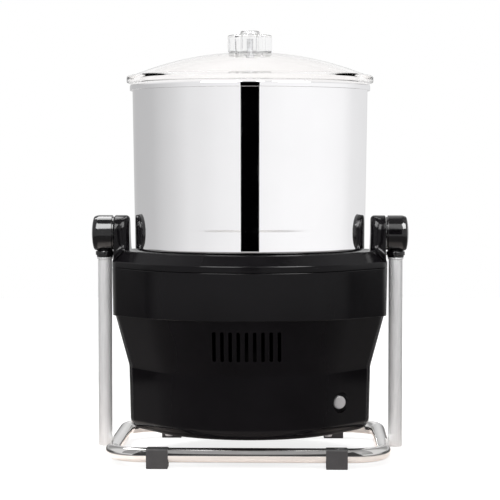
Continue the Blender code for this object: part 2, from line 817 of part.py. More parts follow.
# Drive: chassis plate, a pressed plate that carries the spindle and the motor
plate_width_share = 0.85
plate_half_width = body_half_width * plate_width_share
spindle_radius = 6.0 * mm
motor_x_share = 0.578
motor_x = -body_half_width * motor_x_share
motor_shaft_radius = 4.0 * mm
shaft_clearance = 4.0 * mm
lightening_radius = 17.0 * mm
lightening_y_share = 0.52
plate = loft("chassis_plate", [body_ring(plate_half_width, plate_top),
                               body_ring(plate_half_width, plate_foot)], zinc_steel)
plate_holes = [(x, y, screw_hole_radius, pin_sides) for x, y in post_places]
plate_holes.append((0.0, 0.0, spindle_radius + seat_gap, small_sides))
plate_holes.append((motor_x, 0.0, motor_shaft_radius + shaft_clearance, pin_sides))
for along in (-1, 1):
    plate_holes.append((0.0, along * plate_half_width * lightening_y_share, lightening_radius,
                        small_sides))
cut(plate, joined("plate_holes", [
    place(rod("plate_hole", radius, 2 * (plate_thickness + overrun), sides), (x, y, plate_top))
    for x, y, radius, sides in plate_holes]))
carry(plate, tilt_axis)

# Drive: fixed centre spindle with its flange, square end and threaded stub
flange_radius = 24.0 * mm
flange_height = 4.0 * mm
shoulder_radius = 8.5 * mm
shoulder_height = 2.2 * mm
flange_foot = plate_top + seat_gap
bearing_foot = flange_foot + flange_height + shoulder_height + seat_gap
square_above_rollers = 44.5 * mm
square_foot = roller_height + square_above_rollers
square_height = 20.0 * mm
square_half = 4.2 * mm
stub_radius = 3.6 * mm
stub_height = 15.0 * mm
nut_half = 9.0 * mm
nut_height = 8.0 * mm
thread_end = 2.4 * mm
nut_top = plate_foot - seat_gap
spindle_foot = nut_top - nut_height - thread_end
spindle = turned("centre_spindle", [
    (0.0, square_foot),
    (spindle_radius, square_foot),
    (spindle_radius, flange_foot + flange_height + shoulder_height),
    (shoulder_radius, flange_foot + flange_height + shoulder_height),
    (shoulder_radius, flange_foot + flange_height),
    (flange_radius, flange_foot + flange_height),
    (flange_radius, flange_foot),
    (spindle_radius, flange_foot),
    (spindle_radius, spindle_foot),
    (0.0, spindle_foot),
], small_sides, satin_steel)
square_top = square_foot + square_height
square = block("spindle_square", (-square_half, -square_half, square_foot - overrun),
               (square_half, square_half, square_top))
stub = place(rod("spindle_stub", stub_radius, stub_height + overrun, pin_sides),
             (0.0, 0.0, square_top + (stub_height - overrun) / 2))
add(square, stub)
add(spindle, square)
carry(spindle, tilt_axis)
nut_sides = 6
nut = flat_plate("spindle_nut", [circle_points(nut_half / math.cos(math.pi / nut_sides), nut_sides),
                                 circle_points(spindle_radius + seat_gap, small_sides)[::-1]],
                 nut_height, zinc_steel)
carry(place(nut, (0.0, 0.0, nut_top - nut_height / 2)), tilt_axis)

# Drive: motor under the plate, in three pieces
motor_radius_share = 0.2529
rotor_radius_share = 0.6286
bolt_radius_share = 0.77
stator_height_share = 0.393
standoff_height = 10.0 * mm
upper_shield_height = 13.0 * mm
lower_shield_height = 11.0 * mm
motor_radius = body_half_width * motor_radius_share
motor_inner_radius = motor_radius * rotor_radius_share
motor_bolt_radius = motor_radius * bolt_radius_share
motor_top = plate_foot - standoff_height
stator_height = (plate_foot - bottom_height - body_wall) * stator_height_share
shield_wall = 3.0 * mm
motor_axis = joint_empty("motor_axis", (motor_x, 0.0, motor_top), tilt_axis)
stator_top = motor_top - upper_shield_height
stator_foot = stator_top - stator_height
motor_foot = stator_foot - lower_shield_height
shaft_hole = motor_shaft_radius + seat_gap


def end_shield(name, face, rim):
    """A shallow cup over one end of the stator, from its closed face to its open rim."""
    inward = shield_wall if rim > face else -shield_wall
    outer = [(motor_radius, rim), (motor_radius, face + inward / 2), (motor_radius - edge_round, face),
             (shaft_hole, face)]
    inner = [(shaft_hole, face + inward), (motor_radius - shield_wall, face + inward),
             (motor_radius - shield_wall, rim)]
    profile = outer + inner
    if rim < face:
        profile = profile[::-1]
    return place(turned(name, profile, round_sides, cast_alloy), (motor_x, 0.0, 0.0))


upper_shield = end_shield("motor_upper_shield", motor_top, stator_top + seat_gap)
standoff_radius = 3.6 * mm
standoff_count = 3
standoff_foot = motor_top - shield_wall / 2
standoff_head = plate_foot - seat_gap
standoffs = []
for x, y in circle_points(motor_bolt_radius, standoff_count, (motor_x, 0.0)):
    standoffs.append(place(rod("standoff", standoff_radius, standoff_head - standoff_foot, pin_sides),
                           (x, y, (standoff_head + standoff_foot) / 2)))
add(upper_shield, joined("motor_standoffs", standoffs))
carry(upper_shield, tilt_axis)
lower_shield = end_shield("motor_lower_shield", motor_foot, stator_foot - seat_gap)
carry(lower_shield, tilt_axis)
stator = turned("motor_stator", [
    (motor_radius, stator_top), (motor_radius, stator_foot),
    (motor_inner_radius, stator_foot), (motor_inner_radius, stator_top),
], round_sides, lamination)
carry(place(stator, (motor_x, 0.0, 0.0)), tilt_axis)

# Drive: rotor on its shaft, small pulley and fan
belt_rise = 21.5 * mm
belt_height = plate_top + belt_rise
belt_width = 10.0 * mm
belt_thickness = 2.5 * mm
driven_radius_share = 0.775
driven_radius = -motor_x * driven_radius_share
drive_radius = 7.0 * mm
pulley_flange = 2.6 * mm
pulley_flange_height = 1.6 * mm
air_gap = 0.6 * mm
core_radius = motor_inner_radius - air_gap
fan_radius = 26.0 * mm
fan_blade_height = 9.0 * mm
fan_disc = 2.0 * mm
fan_gap = 1.5 * mm
fan_top = motor_foot - fan_gap
pulley_half = belt_width / 2 + seat_gap * 2
shaft_end = 2.0 * mm
shaft_top = belt_height + pulley_half + pulley_flange_height + shaft_end
shaft_foot = fan_top - fan_blade_height - shaft_end
core_inset = 4.0 * mm
rotor = turned("motor_rotor", [
    (0.0, shaft_top),
    (motor_shaft_radius, shaft_top),
    (motor_shaft_radius, stator_top - core_inset),
    (core_radius, stator_top - core_inset),
    (core_radius, stator_foot + core_inset),
    (motor_shaft_radius, stator_foot + core_inset),
    (motor_shaft_radius, shaft_foot),
    (0.0, shaft_foot),
], small_sides, lamination)
carry(place(rotor, (motor_x, 0.0, 0.0)), motor_axis)
pulley_rim = drive_radius + pulley_flange
motor_pulley = turned("motor_pulley", [
    (pulley_rim, belt_height + pulley_half + pulley_flange_height),
    (pulley_rim, belt_height + pulley_half),
    (drive_radius, belt_height + pulley_half),
    (drive_radius, belt_height - pulley_half),
    (pulley_rim, belt_height - pulley_half),
    (pulley_rim, belt_height - pulley_half - pulley_flange_height),
    (shaft_hole, belt_height - pulley_half - pulley_flange_height),
    (shaft_hole, belt_height + pulley_half + pulley_flange_height),
], small_sides, cast_alloy)
carry(place(motor_pulley, (motor_x, 0.0, 0.0)), motor_axis)
fan_hub_radius = 9.0 * mm
cooling_fan = turned("cooling_fan", [
    (fan_radius, fan_top), (fan_radius, fan_top - fan_disc),
    (fan_hub_radius, fan_top - fan_disc), (fan_hub_radius, fan_top - fan_blade_height),
    (shaft_hole, fan_top - fan_blade_height), (shaft_hole, fan_top),
], small_sides, nylon)
blade_half = 0.9 * mm
blade_inset = 1.0 * mm
blade_count = 6
blades = []
for i in range(blade_count):
    blade = block("blade", (fan_hub_radius + blade_inset, -blade_half, fan_top - fan_blade_height),
                  (fan_radius - blade_inset, blade_half, fan_top - fan_disc / 2))
    blade.data.transform(Matrix.Translation(blade.location))
    blade.location = (0.0, 0.0, 0.0)
    blade.rotation_euler.z = 2 * math.pi * i / blade_count
    blades.append(blade)
add(cooling_fan, joined("fan_blades", blades))
carry(place(cooling_fan, (motor_x, 0.0, 0.0)), motor_axis)
bpy.data.objects["fan_blades"].location = (motor_x, 0.0, 0.0)

# Drive: belt round both pulleys
big_steps = 16
small_steps = 6


def belt_path(offset):
    """The belt's line at a distance out from the pulleys' faces: two arcs joined by straights."""
    big, small, reach = driven_radius + offset, drive_radius + offset, -motor_x
    lean = math.acos((big - small) / reach)
    points = []
    # The facets' flats, not their corners, lie at the offset
    big /= math.cos((math.pi - lean) / big_steps)
    small /= math.cos(lean / small_steps)
    for i in range(big_steps + 1):
        angle = math.pi - lean - (2 * math.pi - 2 * lean) * i / big_steps
        points.append((big * math.cos(angle), big * math.sin(angle)))
    for i in range(small_steps + 1):
        angle = -(math.pi - lean) - 2 * lean * i / small_steps
        points.append((motor_x + small * math.cos(angle), small * math.sin(angle)))
    return points


belt = flat_plate("drive_belt", [belt_path(seat_gap + belt_thickness), belt_path(seat_gap)[::-1]],
                  belt_width, belt_rubber)
carry(place(belt, (0.0, 0.0, belt_height)), tilt_axis)

# Drive: driven pulley with its hub, two bearings and the flange that carries the drum
hub_bore = 14.0 * mm
hub_neck = 10.0 * mm
hub_outer = 19.0 * mm
bearing_height = 9.0 * mm
pulley_hub_drop = 8.0 * mm
pulley_hub_top = cover_top - pulley_hub_drop
pulley_hub_foot = bearing_foot
lower_bearing_top = bearing_foot + bearing_height
upper_bearing_foot = pulley_hub_top - bearing_height - edge_round
web_half_height = 1.6 * mm
rim_wall = 4.0 * mm
driven_pulley = turned("driven_pulley", [
    (hub_outer, pulley_hub_top),
    (hub_outer, belt_height + web_half_height),
    (driven_radius - rim_wall, belt_height + web_half_height),
    (driven_radius - rim_wall, belt_height + pulley_half + pulley_flange_height),
    (driven_radius + pulley_flange, belt_height + pulley_half + pulley_flange_height),
    (driven_radius, belt_height + pulley_half),
    (driven_radius, belt_height - pulley_half),
    (driven_radius + pulley_flange, belt_height - pulley_half - pulley_flange_height),
    (driven_radius - rim_wall, belt_height - pulley_half - pulley_flange_height),
    (driven_radius - rim_wall, belt_height - web_half_height),
    (hub_outer, belt_height - web_half_height),
    (hub_outer, pulley_hub_foot),
    (hub_bore + seat_gap, pulley_hub_foot),
    (hub_bore + seat_gap, lower_bearing_top + seat_gap),
    (hub_neck, lower_bearing_top + seat_gap),
    (hub_neck, upper_bearing_foot - seat_gap),
    (hub_bore + seat_gap, upper_bearing_foot - seat_gap),
    (hub_bore + seat_gap, pulley_hub_top),
], small_sides, cast_alloy)
web_hole_radius = 10.5 * mm
web_hole_count = 4
web_holes = joined("pulley_web_holes", [
    place(rod("web_hole", web_hole_radius, 2 * overrun, pin_sides), (x, y, belt_height))
    for x, y in circle_points((hub_outer + driven_radius - rim_wall) / 2, web_hole_count)])
cut(driven_pulley, web_holes)
carry(driven_pulley, drum_axis)
for name, foot_z in (("lower_bearing", bearing_foot), ("upper_bearing", upper_bearing_foot)):
    bearing = turned(name, [
        (hub_bore, foot_z + bearing_height), (hub_bore, foot_z),
        (spindle_radius + seat_gap, foot_z), (spindle_radius + seat_gap, foot_z + bearing_height),
    ], small_sides, satin_steel)
    carry(bearing, drum_axis)

flange_hole_clearance = 2.5 * mm
drive_flange_radius = hub_hole_radius - flange_hole_clearance
drive_flange_height = 6.0 * mm
drive_flange_top = drum_floor - seat_gap
spindle_clearance = 2.0 * mm
drive_flange = turned("drive_flange", [
    (drive_flange_radius - edge_round, drive_flange_top),
    (drive_flange_radius, drive_flange_top - edge_round),
    (drive_flange_radius, drive_flange_top - drive_flange_height),
    (hub_outer, drive_flange_top - drive_flange_height),
    (hub_outer, pulley_hub_top + seat_gap),
    (spindle_radius + spindle_clearance, pulley_hub_top + seat_gap),
    (spindle_radius + spindle_clearance, drive_flange_top),
], round_sides, cast_alloy)
carry(drive_flange, drum_axis)

# Drum: one pressed vessel with a rolled rim and a centre tube
drum_wall = 1.0 * mm
drum_side_gap = 6.2 * mm
drum_flare = 2.5 * mm
drum_corner = 3.4 * mm
corner_share = 0.3
bead_radius = 3.8 * mm
bead_reach = 2.7 * mm
groove_rise = 21.8 * mm
drum_foot_radius = ear_inner_foot_x - drum_side_gap
drum_top_radius = drum_foot_radius + drum_flare
bead_outer = drum_top_radius + bead_reach
groove_height = drum_floor + groove_rise
groove_half = 1.8 * mm
groove_depth = 0.5 * mm
tube_radius = 13.0 * mm
tube_bore = 9.5 * mm
tube_end_gap = 1.5 * mm
tube_top = square_foot - tube_end_gap
tube_foot_round = 3.0 * mm
bead_steps = 4
bead_start = math.radians(150)
bead_sweep = math.radians(190)


def drum_radius_at(height):
    share = (height - drum_floor) / (drum_rim - 2 * bead_radius - drum_floor)
    return drum_foot_radius + (drum_top_radius - drum_foot_radius) * share


bead_middle = (bead_outer - bead_radius, drum_rim - bead_radius)
bead_turns = [bead_start - bead_sweep * i / bead_steps for i in range(bead_steps + 1)]
bead = [(bead_middle[0] + bead_radius * math.cos(turn), bead_middle[1] + bead_radius * math.sin(turn))
        for turn in bead_turns]
neck_height = bead_middle[1] - bead_radius
drum_profile = bead + [
    (drum_radius_at(neck_height), neck_height),
    (drum_radius_at(groove_height + groove_half), groove_height + groove_half),
    (drum_radius_at(groove_height) - groove_depth, groove_height),
    (drum_radius_at(groove_height - groove_half), groove_height - groove_half),
    (drum_radius_at(drum_floor + drum_corner), drum_floor + drum_corner),
    (drum_foot_radius - drum_corner * corner_share, drum_floor + drum_corner * corner_share),
    (drum_foot_radius - drum_corner, drum_floor),
    (tube_bore, drum_floor),
    (tube_bore, tube_top),
    (tube_radius - edge_round, tube_top),
    (tube_radius, tube_top - edge_round),
    (tube_radius, drum_floor + drum_wall + tube_foot_round),
    (tube_radius + tube_foot_round, drum_floor + drum_wall),
    (drum_foot_radius - drum_corner - drum_wall, drum_floor + drum_wall),
    (drum_foot_radius - drum_wall, drum_floor + drum_corner + drum_wall),
    (drum_radius_at(neck_height) - drum_wall, neck_height),
]
drum = turned("drum", drum_profile, drum_sides, mirror_steel)
carry(drum, drum_axis)

# Stones: bed stone with a raised cone, and the ring that clamps it on the centre tube
bed_side_gap = 20.0 * mm
roller_end_gap = 4.0 * mm
roller_inner_x = 30.0 * mm
roller_inner_radius = 18.0 * mm
grinding_gap = 0.4 * mm
bed_land_step = 2.0 * mm
bed_radius = drum_foot_radius - bed_side_gap
roller_outer_x = bed_radius - roller_end_gap
bed_foot = drum_floor + drum_wall + seat_gap
bed_bore = tube_radius + tube_foot_round + seat_gap
bed_land = roller_inner_x - bed_land_step


def roller_radius_at(x):
    share = (x - roller_inner_x) / (roller_outer_x - roller_inner_x)
    return roller_inner_radius + (roller_outer_radius - roller_inner_radius) * share


def bed_height_at(radius):
    return roller_height - roller_radius_at(radius) - grinding_gap


bed_stone = turned("bed_stone", [
    (bed_land, bed_height_at(bed_land)),
    (bed_radius - edge_round, bed_height_at(bed_radius - edge_round)),
    (bed_radius, bed_height_at(bed_radius) - edge_round),
    (bed_radius, bed_foot),
    (bed_bore, bed_foot),
    (bed_bore, bed_height_at(bed_land)),
], drum_sides, granite)
carry(bed_stone, drum_axis)
ring_foot = bed_height_at(bed_land) + seat_gap
ring_height = 4.0 * mm
ring_radius = 21.5 * mm
bed_ring = turned("bed_clamp_ring", [
    (ring_radius - edge_round, ring_foot + ring_height),
    (ring_radius, ring_foot + ring_height - edge_round),
    (ring_radius, ring_foot),
    (tube_radius + seat_gap, ring_foot),
    (tube_radius + seat_gap, ring_foot + ring_height),
], round_sides, nylon)
carry(bed_ring, drum_axis)

# Stone holder: a moulded socket over the centre tube with two arms for the axles
holder_lift = joint_empty("stone_holder_lift", (0.0, 0.0, roller_height), tilt_axis)
holder_radius = 20.0 * mm
holder_clearance = 1.5 * mm
holder_foot_gap = 1.6 * mm
holder_round = 4.0 * mm
holder_bore = tube_radius + holder_clearance
holder_foot = ring_foot + ring_height + holder_foot_gap
holder_floor = square_foot + seat_gap
arm_radius = 8.6 * mm
arm_end_gap = 0.8 * mm
arm_reach = roller_inner_x - arm_end_gap
axle_radius = 5.0 * mm
holder_top = square_top - seat_gap
holder = turned("stone_holder", [
    (0.0, holder_top),
    (holder_radius - holder_round, holder_top),
    (holder_radius, holder_top - holder_round),
    (holder_radius, holder_foot),
    (holder_bore, holder_foot),
    (holder_bore, holder_floor),
    (0.0, holder_floor),
], round_sides, black_matte)
arm = rod("holder_arms", arm_radius, 2 * arm_reach, small_sides)
place(arm, (0.0, 0.0, roller_height), along_side[1])
clear_bore = rod("holder_bore", holder_bore, tube_top, round_sides)
place(clear_bore, (0.0, 0.0, holder_floor - tube_top / 2))
square_hole_half = square_half + seat_gap
square_hole = block("holder_square", (-square_hole_half, -square_hole_half, square_foot - overrun),
                    (square_hole_half, square_hole_half, square_top + overrun))
axle_holes = []
axle_hole_start = holder_bore + 2 * seat_gap
axle_hole_end = arm_reach + overrun
for side in sides_of_stand.values():
    hole = rod("axle_hole", axle_radius + seat_gap, axle_hole_end - axle_hole_start, small_sides)
    middle_x = side * (axle_hole_start + axle_hole_end) / 2
    axle_holes.append(place(hole, (middle_x, 0.0, roller_height), along_side[1]))
add(holder, arm)
cut(holder, clear_bore, square_hole, joined("axle_holes", axle_holes))
carry(holder, holder_lift)

# Stone holder: axles, rollers and their bushes
axle_end_radius = 8.5 * mm
axle_end_height = 4.0 * mm
roller_bush_wall = 2.6 * mm
roller_bush_radius = axle_radius + seat_gap + roller_bush_wall
roller_edge = 2.4 * mm
axle_start = axle_hole_start + seat_gap
axle_step = roller_outer_x + seat_gap
axle_end = axle_step + axle_end_height
for side_name, side in sides_of_stand.items():
    axle = turned("roller_axle_" + side_name, [
        (0.0, axle_end),
        (axle_end_radius - edge_round, axle_end),
        (axle_end_radius, axle_end - edge_round),
        (axle_end_radius, axle_step),
        (axle_radius, axle_step),
        (axle_radius, axle_start),
        (0.0, axle_start),
    ], small_sides, satin_steel)
    carry(place(axle, (0.0, 0.0, roller_height), along_side[side]), holder_lift)
    roller_axis = joint_empty("roller_axis_" + side_name, (side * roller_inner_x, 0.0, roller_height),
                              holder_lift)
    roller = turned("roller_stone_" + side_name, [
        (roller_outer_radius - roller_edge, roller_outer_x),
        (roller_radius_at(roller_outer_x - roller_edge), roller_outer_x - roller_edge),
        (roller_inner_radius, roller_inner_x),
        (roller_bush_radius + seat_gap, roller_inner_x),
        (roller_bush_radius + seat_gap, roller_outer_x),
    ], round_sides, granite)
    carry(place(roller, (0.0, 0.0, roller_height), along_side[side]), roller_axis)
    bush = turned("roller_bush_" + side_name, [
        (roller_bush_radius, roller_outer_x), (roller_bush_radius, roller_inner_x),
        (axle_radius + seat_gap, roller_inner_x), (axle_radius + seat_gap, roller_outer_x),
    ], small_sides, nylon)
    carry(place(bush, (0.0, 0.0, roller_height), along_side[side]), roller_axis)

# Stone holder: scraper, a bent strip clamped under the lock knob
strip_thickness = 2.0 * mm
strip_half_width = 7.0 * mm
strip_eye_radius = 12.0 * mm
strip_foot = holder_top + 2 * seat_gap
strip_top = strip_foot + strip_thickness
strip_start_share = 0.7
blade_side_gap = 7.0 * mm
blade_rise = 8.0 * mm
strip_start = strip_eye_radius * strip_start_share
blade_y = drum_foot_radius - blade_side_gap
blade_foot = drum_floor + blade_rise
scraper = turned("scraper", [
    (strip_eye_radius, strip_top), (strip_eye_radius, strip_foot),
    (stub_radius + seat_gap, strip_foot), (stub_radius + seat_gap, strip_top),
], small_sides, satin_steel)
strip_outline = [
    (strip_start, strip_top), (blade_y, strip_top), (blade_y, blade_foot),
    (blade_y - strip_thickness, blade_foot), (blade_y - strip_thickness, strip_foot),
    (strip_start, strip_foot),
]
strip = flat_plate("scraper_strip", [strip_outline], 2 * strip_half_width)
place(strip, (0.0, 0.0, 0.0), (math.pi / 2, 0.0, math.pi / 2))
add(scraper, strip)
carry(scraper, holder_lift)

knob_radius = 16.0 * mm
knob_height = 13.0 * mm
knob_edge = 2.4 * mm
knob_foot = strip_top + seat_gap
knob_top = knob_foot + knob_height
thread_top = square_top + stub_height + seat_gap
lock_knob = turned("lock_knob", [
    (0.0, knob_top),
    (knob_radius - knob_edge, knob_top),
    (knob_radius, knob_top - knob_edge),
    (knob_radius, knob_foot),
    (stub_radius + seat_gap, knob_foot),
    (stub_radius + seat_gap, thread_top),
    (0.0, thread_top),
], round_sides, black_matte)
flute_count = 8
flute_radius = 3.0 * mm
flute_out_share = 0.4
flute_circle = knob_radius + flute_radius * flute_out_share
flutes = joined("knob_flutes", [
    place(rod("flute", flute_radius, knob_height + 2 * overrun, pin_sides),
          (x, y, knob_foot + knob_height / 2))
    for x, y in circle_points(flute_circle, flute_count)])
cut(lock_knob, flutes)
carry(lock_knob, holder_lift)

# Lid: clear domed shell, lobed knob and its screw
lid_lift = joint_empty("lid_lift", (0.0, 0.0, drum_rim), drum_axis)
lid_wall = 2.4 * mm
lid_overhang = 3.1 * mm
lid_flange_height = 7.4 * mm
lid_rise = 23.6 * mm
lid_skirt_depth = 5.0 * mm
lid_screw_hole = 2.6 * mm
lid_edge = 1.6 * mm
lid_flange_radius = bead_outer + lid_overhang
lid_seat = drum_rim + seat_gap
lid_flange_top = drum_rim + lid_flange_height
lid_crown = lid_flange_top + lid_rise
lid_skirt_radius = bead_outer - 2 * (bead_radius + seat_gap)
lid_skirt_foot = drum_rim - lid_skirt_depth
# Each point of the dome: share of the flange's radius, share of the rise
dome_shares = ((0.185, 0.985), (0.50, 0.77), (0.76, 0.40), (0.93, 0.10))
dome_inset_share = 0.4
dome = [(lid_flange_radius * across, lid_flange_top + lid_rise * up) for across, up in dome_shares]
under_dome = [(radius - lid_wall * dome_inset_share, height - lid_wall) for radius, height in dome[:-1]]
lid = turned("lid_shell", [(lid_screw_hole, lid_crown)] + dome + [
    (lid_flange_radius - lid_edge, lid_flange_top),
    (lid_flange_radius, lid_flange_top - lid_edge),
    (lid_flange_radius, lid_seat + lid_edge),
    (lid_flange_radius - lid_edge, lid_seat),
    (lid_skirt_radius, lid_seat),
    (lid_skirt_radius, lid_skirt_foot),
    (lid_skirt_radius - lid_wall, lid_skirt_foot),
    (lid_skirt_radius - lid_wall, lid_flange_top - lid_wall),
] + under_dome[::-1] + [(lid_screw_hole, lid_crown - lid_wall)], drum_sides, clear_plastic)
carry(lid, lid_lift)

knob_foot = lid_crown + seat_gap
knob_rise = 21.6 * mm
knob_outer = 23.0 * mm
lobe_count = 6
lobe_depth_share = 0.13
points_per_lobe = 4
# Each level of the knob: share of its radius, share of its height, share of the lobes' depth
knob_level_shares = ((0.42, 0.0, 0.0), (0.80, 0.10, 0.8), (1.0, 0.34, 1.0), (1.0, 0.60, 1.0),
                     (0.86, 0.80, 0.9), (0.50, 0.84, 0.3), (0.40, 0.97, 0.0), (0.30, 1.0, 0.0))
knob_points = lobe_count * points_per_lobe


def knob_ring(radius_share, height_share, lobe_share):
    ring = []
    for i in range(knob_points):
        angle = 2 * math.pi * i / knob_points
        lobe = 1 - lobe_depth_share * lobe_share * (1 - math.cos(lobe_count * angle)) / 2
        radius = knob_outer * radius_share * lobe
        ring.append((radius * math.cos(angle), radius * math.sin(angle),
                     knob_foot + knob_rise * height_share))
    return ring


lid_knob = loft("lid_knob", [knob_ring(*level) for level in knob_level_shares[::-1]], clear_plastic)
screw_depth = 13.0 * mm
lid_screw_radius = 2.2 * mm
knob_hole = rod("lid_knob_hole", lid_screw_radius + seat_gap, 2 * (screw_depth + seat_gap), pin_sides)
cut(lid_knob, place(knob_hole, (0.0, 0.0, knob_foot)))
carry(lid_knob, lid_lift)
washer_radius = 6.5 * mm
washer_height = 1.6 * mm
head_radius = 4.2 * mm
head_height = 2.8 * mm
screw_seat = lid_crown - lid_wall - seat_gap
washer_foot = screw_seat - washer_height
lid_screw = turned("lid_screw", [
    (0.0, knob_foot + screw_depth),
    (lid_screw_radius, knob_foot + screw_depth),
    (lid_screw_radius, screw_seat),
    (washer_radius, screw_seat),
    (washer_radius, washer_foot),
    (head_radius, washer_foot),
    (head_radius, washer_foot - head_height),
    (0.0, washer_foot - head_height),
], pin_sides, satin_steel)
carry(lid_screw, lid_lift)

# Switch: body snapped into the pad, and the push button in it
button_axis = joint_empty("button_axis", on_button_axis(0.0), tilt_axis)
switch_length = 20.0 * mm
button_face = 4.6 * mm
button_crown = 1.1 * mm
button_crown_share = 0.8
button_root = 1.0 * mm
button_travel = 2.5 * mm
socket_floor = -button_root - button_travel - seat_gap
switch_body = turned("switch_body", [
    (0.0, socket_floor),
    (button_radius + seat_gap, socket_floor),
    (button_radius + seat_gap, seat_gap + bezel_height),
    (bezel_radius - edge_round / 2, seat_gap + bezel_height),
    (bezel_radius, seat_gap + bezel_height - edge_round / 2),
    (bezel_radius, seat_gap),
    (switch_body_radius, seat_gap),
    (switch_body_radius, -switch_length),
    (0.0, -switch_length),
], small_sides, black_matte)
carry(place(switch_body, seat_place, along_button), tilt_axis)
power_button = turned("power_button", [
    (0.0, button_face),
    (button_radius * button_crown_share, button_face),
    (button_radius, button_face - button_crown),
    (button_radius, -button_root),
    (0.0, -button_root),
], small_sides, button_grey)
carry(place(power_button, seat_place, along_button), button_axis)

# Motor run capacitor, hung by its stud end under the chassis plate
capacitor_radius = 15.0 * mm
capacitor_length = 56.0 * mm
capacitor_x_share = 0.42
capacitor_x = plate_half_width * capacitor_x_share
capacitor_top = plate_foot - seat_gap
capacitor = turned("run_capacitor", [
    (0.0, capacitor_top),
    (capacitor_radius - edge_round, capacitor_top),
    (capacitor_radius, capacitor_top - edge_round),
    (capacitor_radius, capacitor_top - capacitor_length),
    (0.0, capacitor_top - capacitor_length),
], small_sides, nylon)
carry(place(capacitor, (capacitor_x, 0.0, 0.0)), tilt_axis)
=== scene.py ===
"""The looks of a tilting table-top wet grinder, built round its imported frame.
The sections follow the grinder as it is put together: stand, moulded body, drive, drum and stones, lid.
Sizes are in metres, +Z is up, the front faces -Y, and the drum turns about the Z axis."""
from math import asin, atan2, cos, pi, radians, sin, sqrt, tan

import bmesh
import bpy
from mathutils import Matrix, Vector


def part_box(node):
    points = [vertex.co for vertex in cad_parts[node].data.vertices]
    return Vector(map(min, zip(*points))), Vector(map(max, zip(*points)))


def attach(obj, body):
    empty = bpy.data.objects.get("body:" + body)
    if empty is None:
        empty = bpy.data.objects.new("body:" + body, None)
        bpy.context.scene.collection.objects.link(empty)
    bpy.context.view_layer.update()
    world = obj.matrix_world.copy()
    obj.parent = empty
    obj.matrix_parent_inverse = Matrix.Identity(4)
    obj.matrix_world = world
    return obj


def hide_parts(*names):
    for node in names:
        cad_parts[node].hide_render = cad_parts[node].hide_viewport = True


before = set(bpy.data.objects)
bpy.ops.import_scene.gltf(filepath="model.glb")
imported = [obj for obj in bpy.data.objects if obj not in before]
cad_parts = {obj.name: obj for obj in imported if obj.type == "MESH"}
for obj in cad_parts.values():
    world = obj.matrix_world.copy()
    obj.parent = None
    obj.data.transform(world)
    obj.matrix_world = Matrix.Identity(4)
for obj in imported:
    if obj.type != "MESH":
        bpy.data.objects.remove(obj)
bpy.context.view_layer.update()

# Base loop: one stainless tube bent into a rounded rectangle, welded shut and polished bright.
# It lies flat, carried by four rubber blocks, and the two uprights stand beside its side runs.
mm = 0.001
loop_low, loop_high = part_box("base_loop")
loop_radius = 7.15 * mm
loop_height = (loop_low.z + loop_high.z) / 2
loop_half_width = loop_high.x - loop_radius
loop_half_depth = loop_high.y - loop_radius
loop_corner = 34.0 * mm
loop_sides, bend_steps = 40, 20
chrome_colour = (0.80, 0.79, 0.775)


def feed(tree, node, inputs):
    """Set a node's inputs, by name or number, to values or other nodes' outputs."""
    for socket, value in inputs.items():
        if isinstance(value, bpy.types.NodeSocket):
            tree.links.new(value, node.inputs[socket])
        else:
            node.inputs[socket].default_value = value


def add_node(tree, kind, output=None, inputs=None, **settings):
    """Add a shader node, and give back one of its outputs or all of them."""
    node = tree.nodes.new("ShaderNode" + kind)
    for name, value in settings.items():
        setattr(node, name, value)
    feed(tree, node, inputs or {})
    return node.outputs[output] if output else node.outputs


def new_finish(name, colour, roughness, metallic=0.0, more=None):
    """A material for one finish, with its node tree and its Principled shader."""
    made = bpy.data.materials.new(name)
    made.use_nodes = True
    tree = made.node_tree
    shader = tree.nodes["Principled BSDF"]
    plain = {"Base Color": (*colour, 1.0), "Roughness": roughness, "Metallic": metallic}
    feed(tree, shader, {**plain, **(more or {})})
    return made, tree, shader


def pattern(tree, scale, stretch=(1.0, 1.0, 1.0), detail=3.0):
    """Noise that sticks to the piece, in spots per metre, stretched along any axis."""
    place = add_node(tree, "TexCoord", "Object")
    sized = add_node(tree, "Mapping", "Vector", {"Scale": stretch, "Vector": place})
    return add_node(tree, "TexNoise", "Fac", {"Scale": scale, "Detail": detail, "Vector": sized})


def ranged(tree, source, start, end, low=0.0, high=1.0, easing="LINEAR"):
    """Map a value from one range to another."""
    levels = {"Value": source, "From Min": start, "From Max": end, "To Min": low, "To Max": high}
    return add_node(tree, "MapRange", "Result", levels, interpolation_type=easing)


def spread(tree, source, low, high, narrow=0.3):
    """Spread the middle of a 0 to 1 pattern between low and high."""
    return ranged(tree, source, narrow, 1.0 - narrow, low, high)


def raised(tree, source, strength, depth):
    """Normals for a surface that a pattern raises by a small real depth."""
    return add_node(tree, "Bump", "Normal", {"Strength": strength, "Distance": depth, "Height": source})


def vary(tree, shader, colour, clouds, shades, marks, roughs, grain, strength, depth):
    """Vary a finish: clouds shade its colour, marks its roughness and grain its surface."""
    dark, light = [(*[c * shade for c in colour], 1.0) for shade in shades]
    blend = {"A": dark, "B": light, "Factor": spread(tree, clouds, 0.0, 1.0)}
    feed(tree, shader, {"Base Color": add_node(tree, "Mix", "Result", blend, data_type="RGBA"),
                        "Roughness": spread(tree, marks, *roughs),
                        "Normal": raised(tree, grain, strength, depth)})


def grained(name, colour, roughness, clouds, shades, grain, roughs, strength, depth, metallic=0.0):
    """A finish with soft clouds in its shade and a fine grain, both in spots per metre."""
    made, tree, shader = new_finish(name, colour, roughness, metallic)
    fine = pattern(tree, grain)
    vary(tree, shader, colour, pattern(tree, clouds), shades, fine, roughs, fine, strength, depth)
    return made


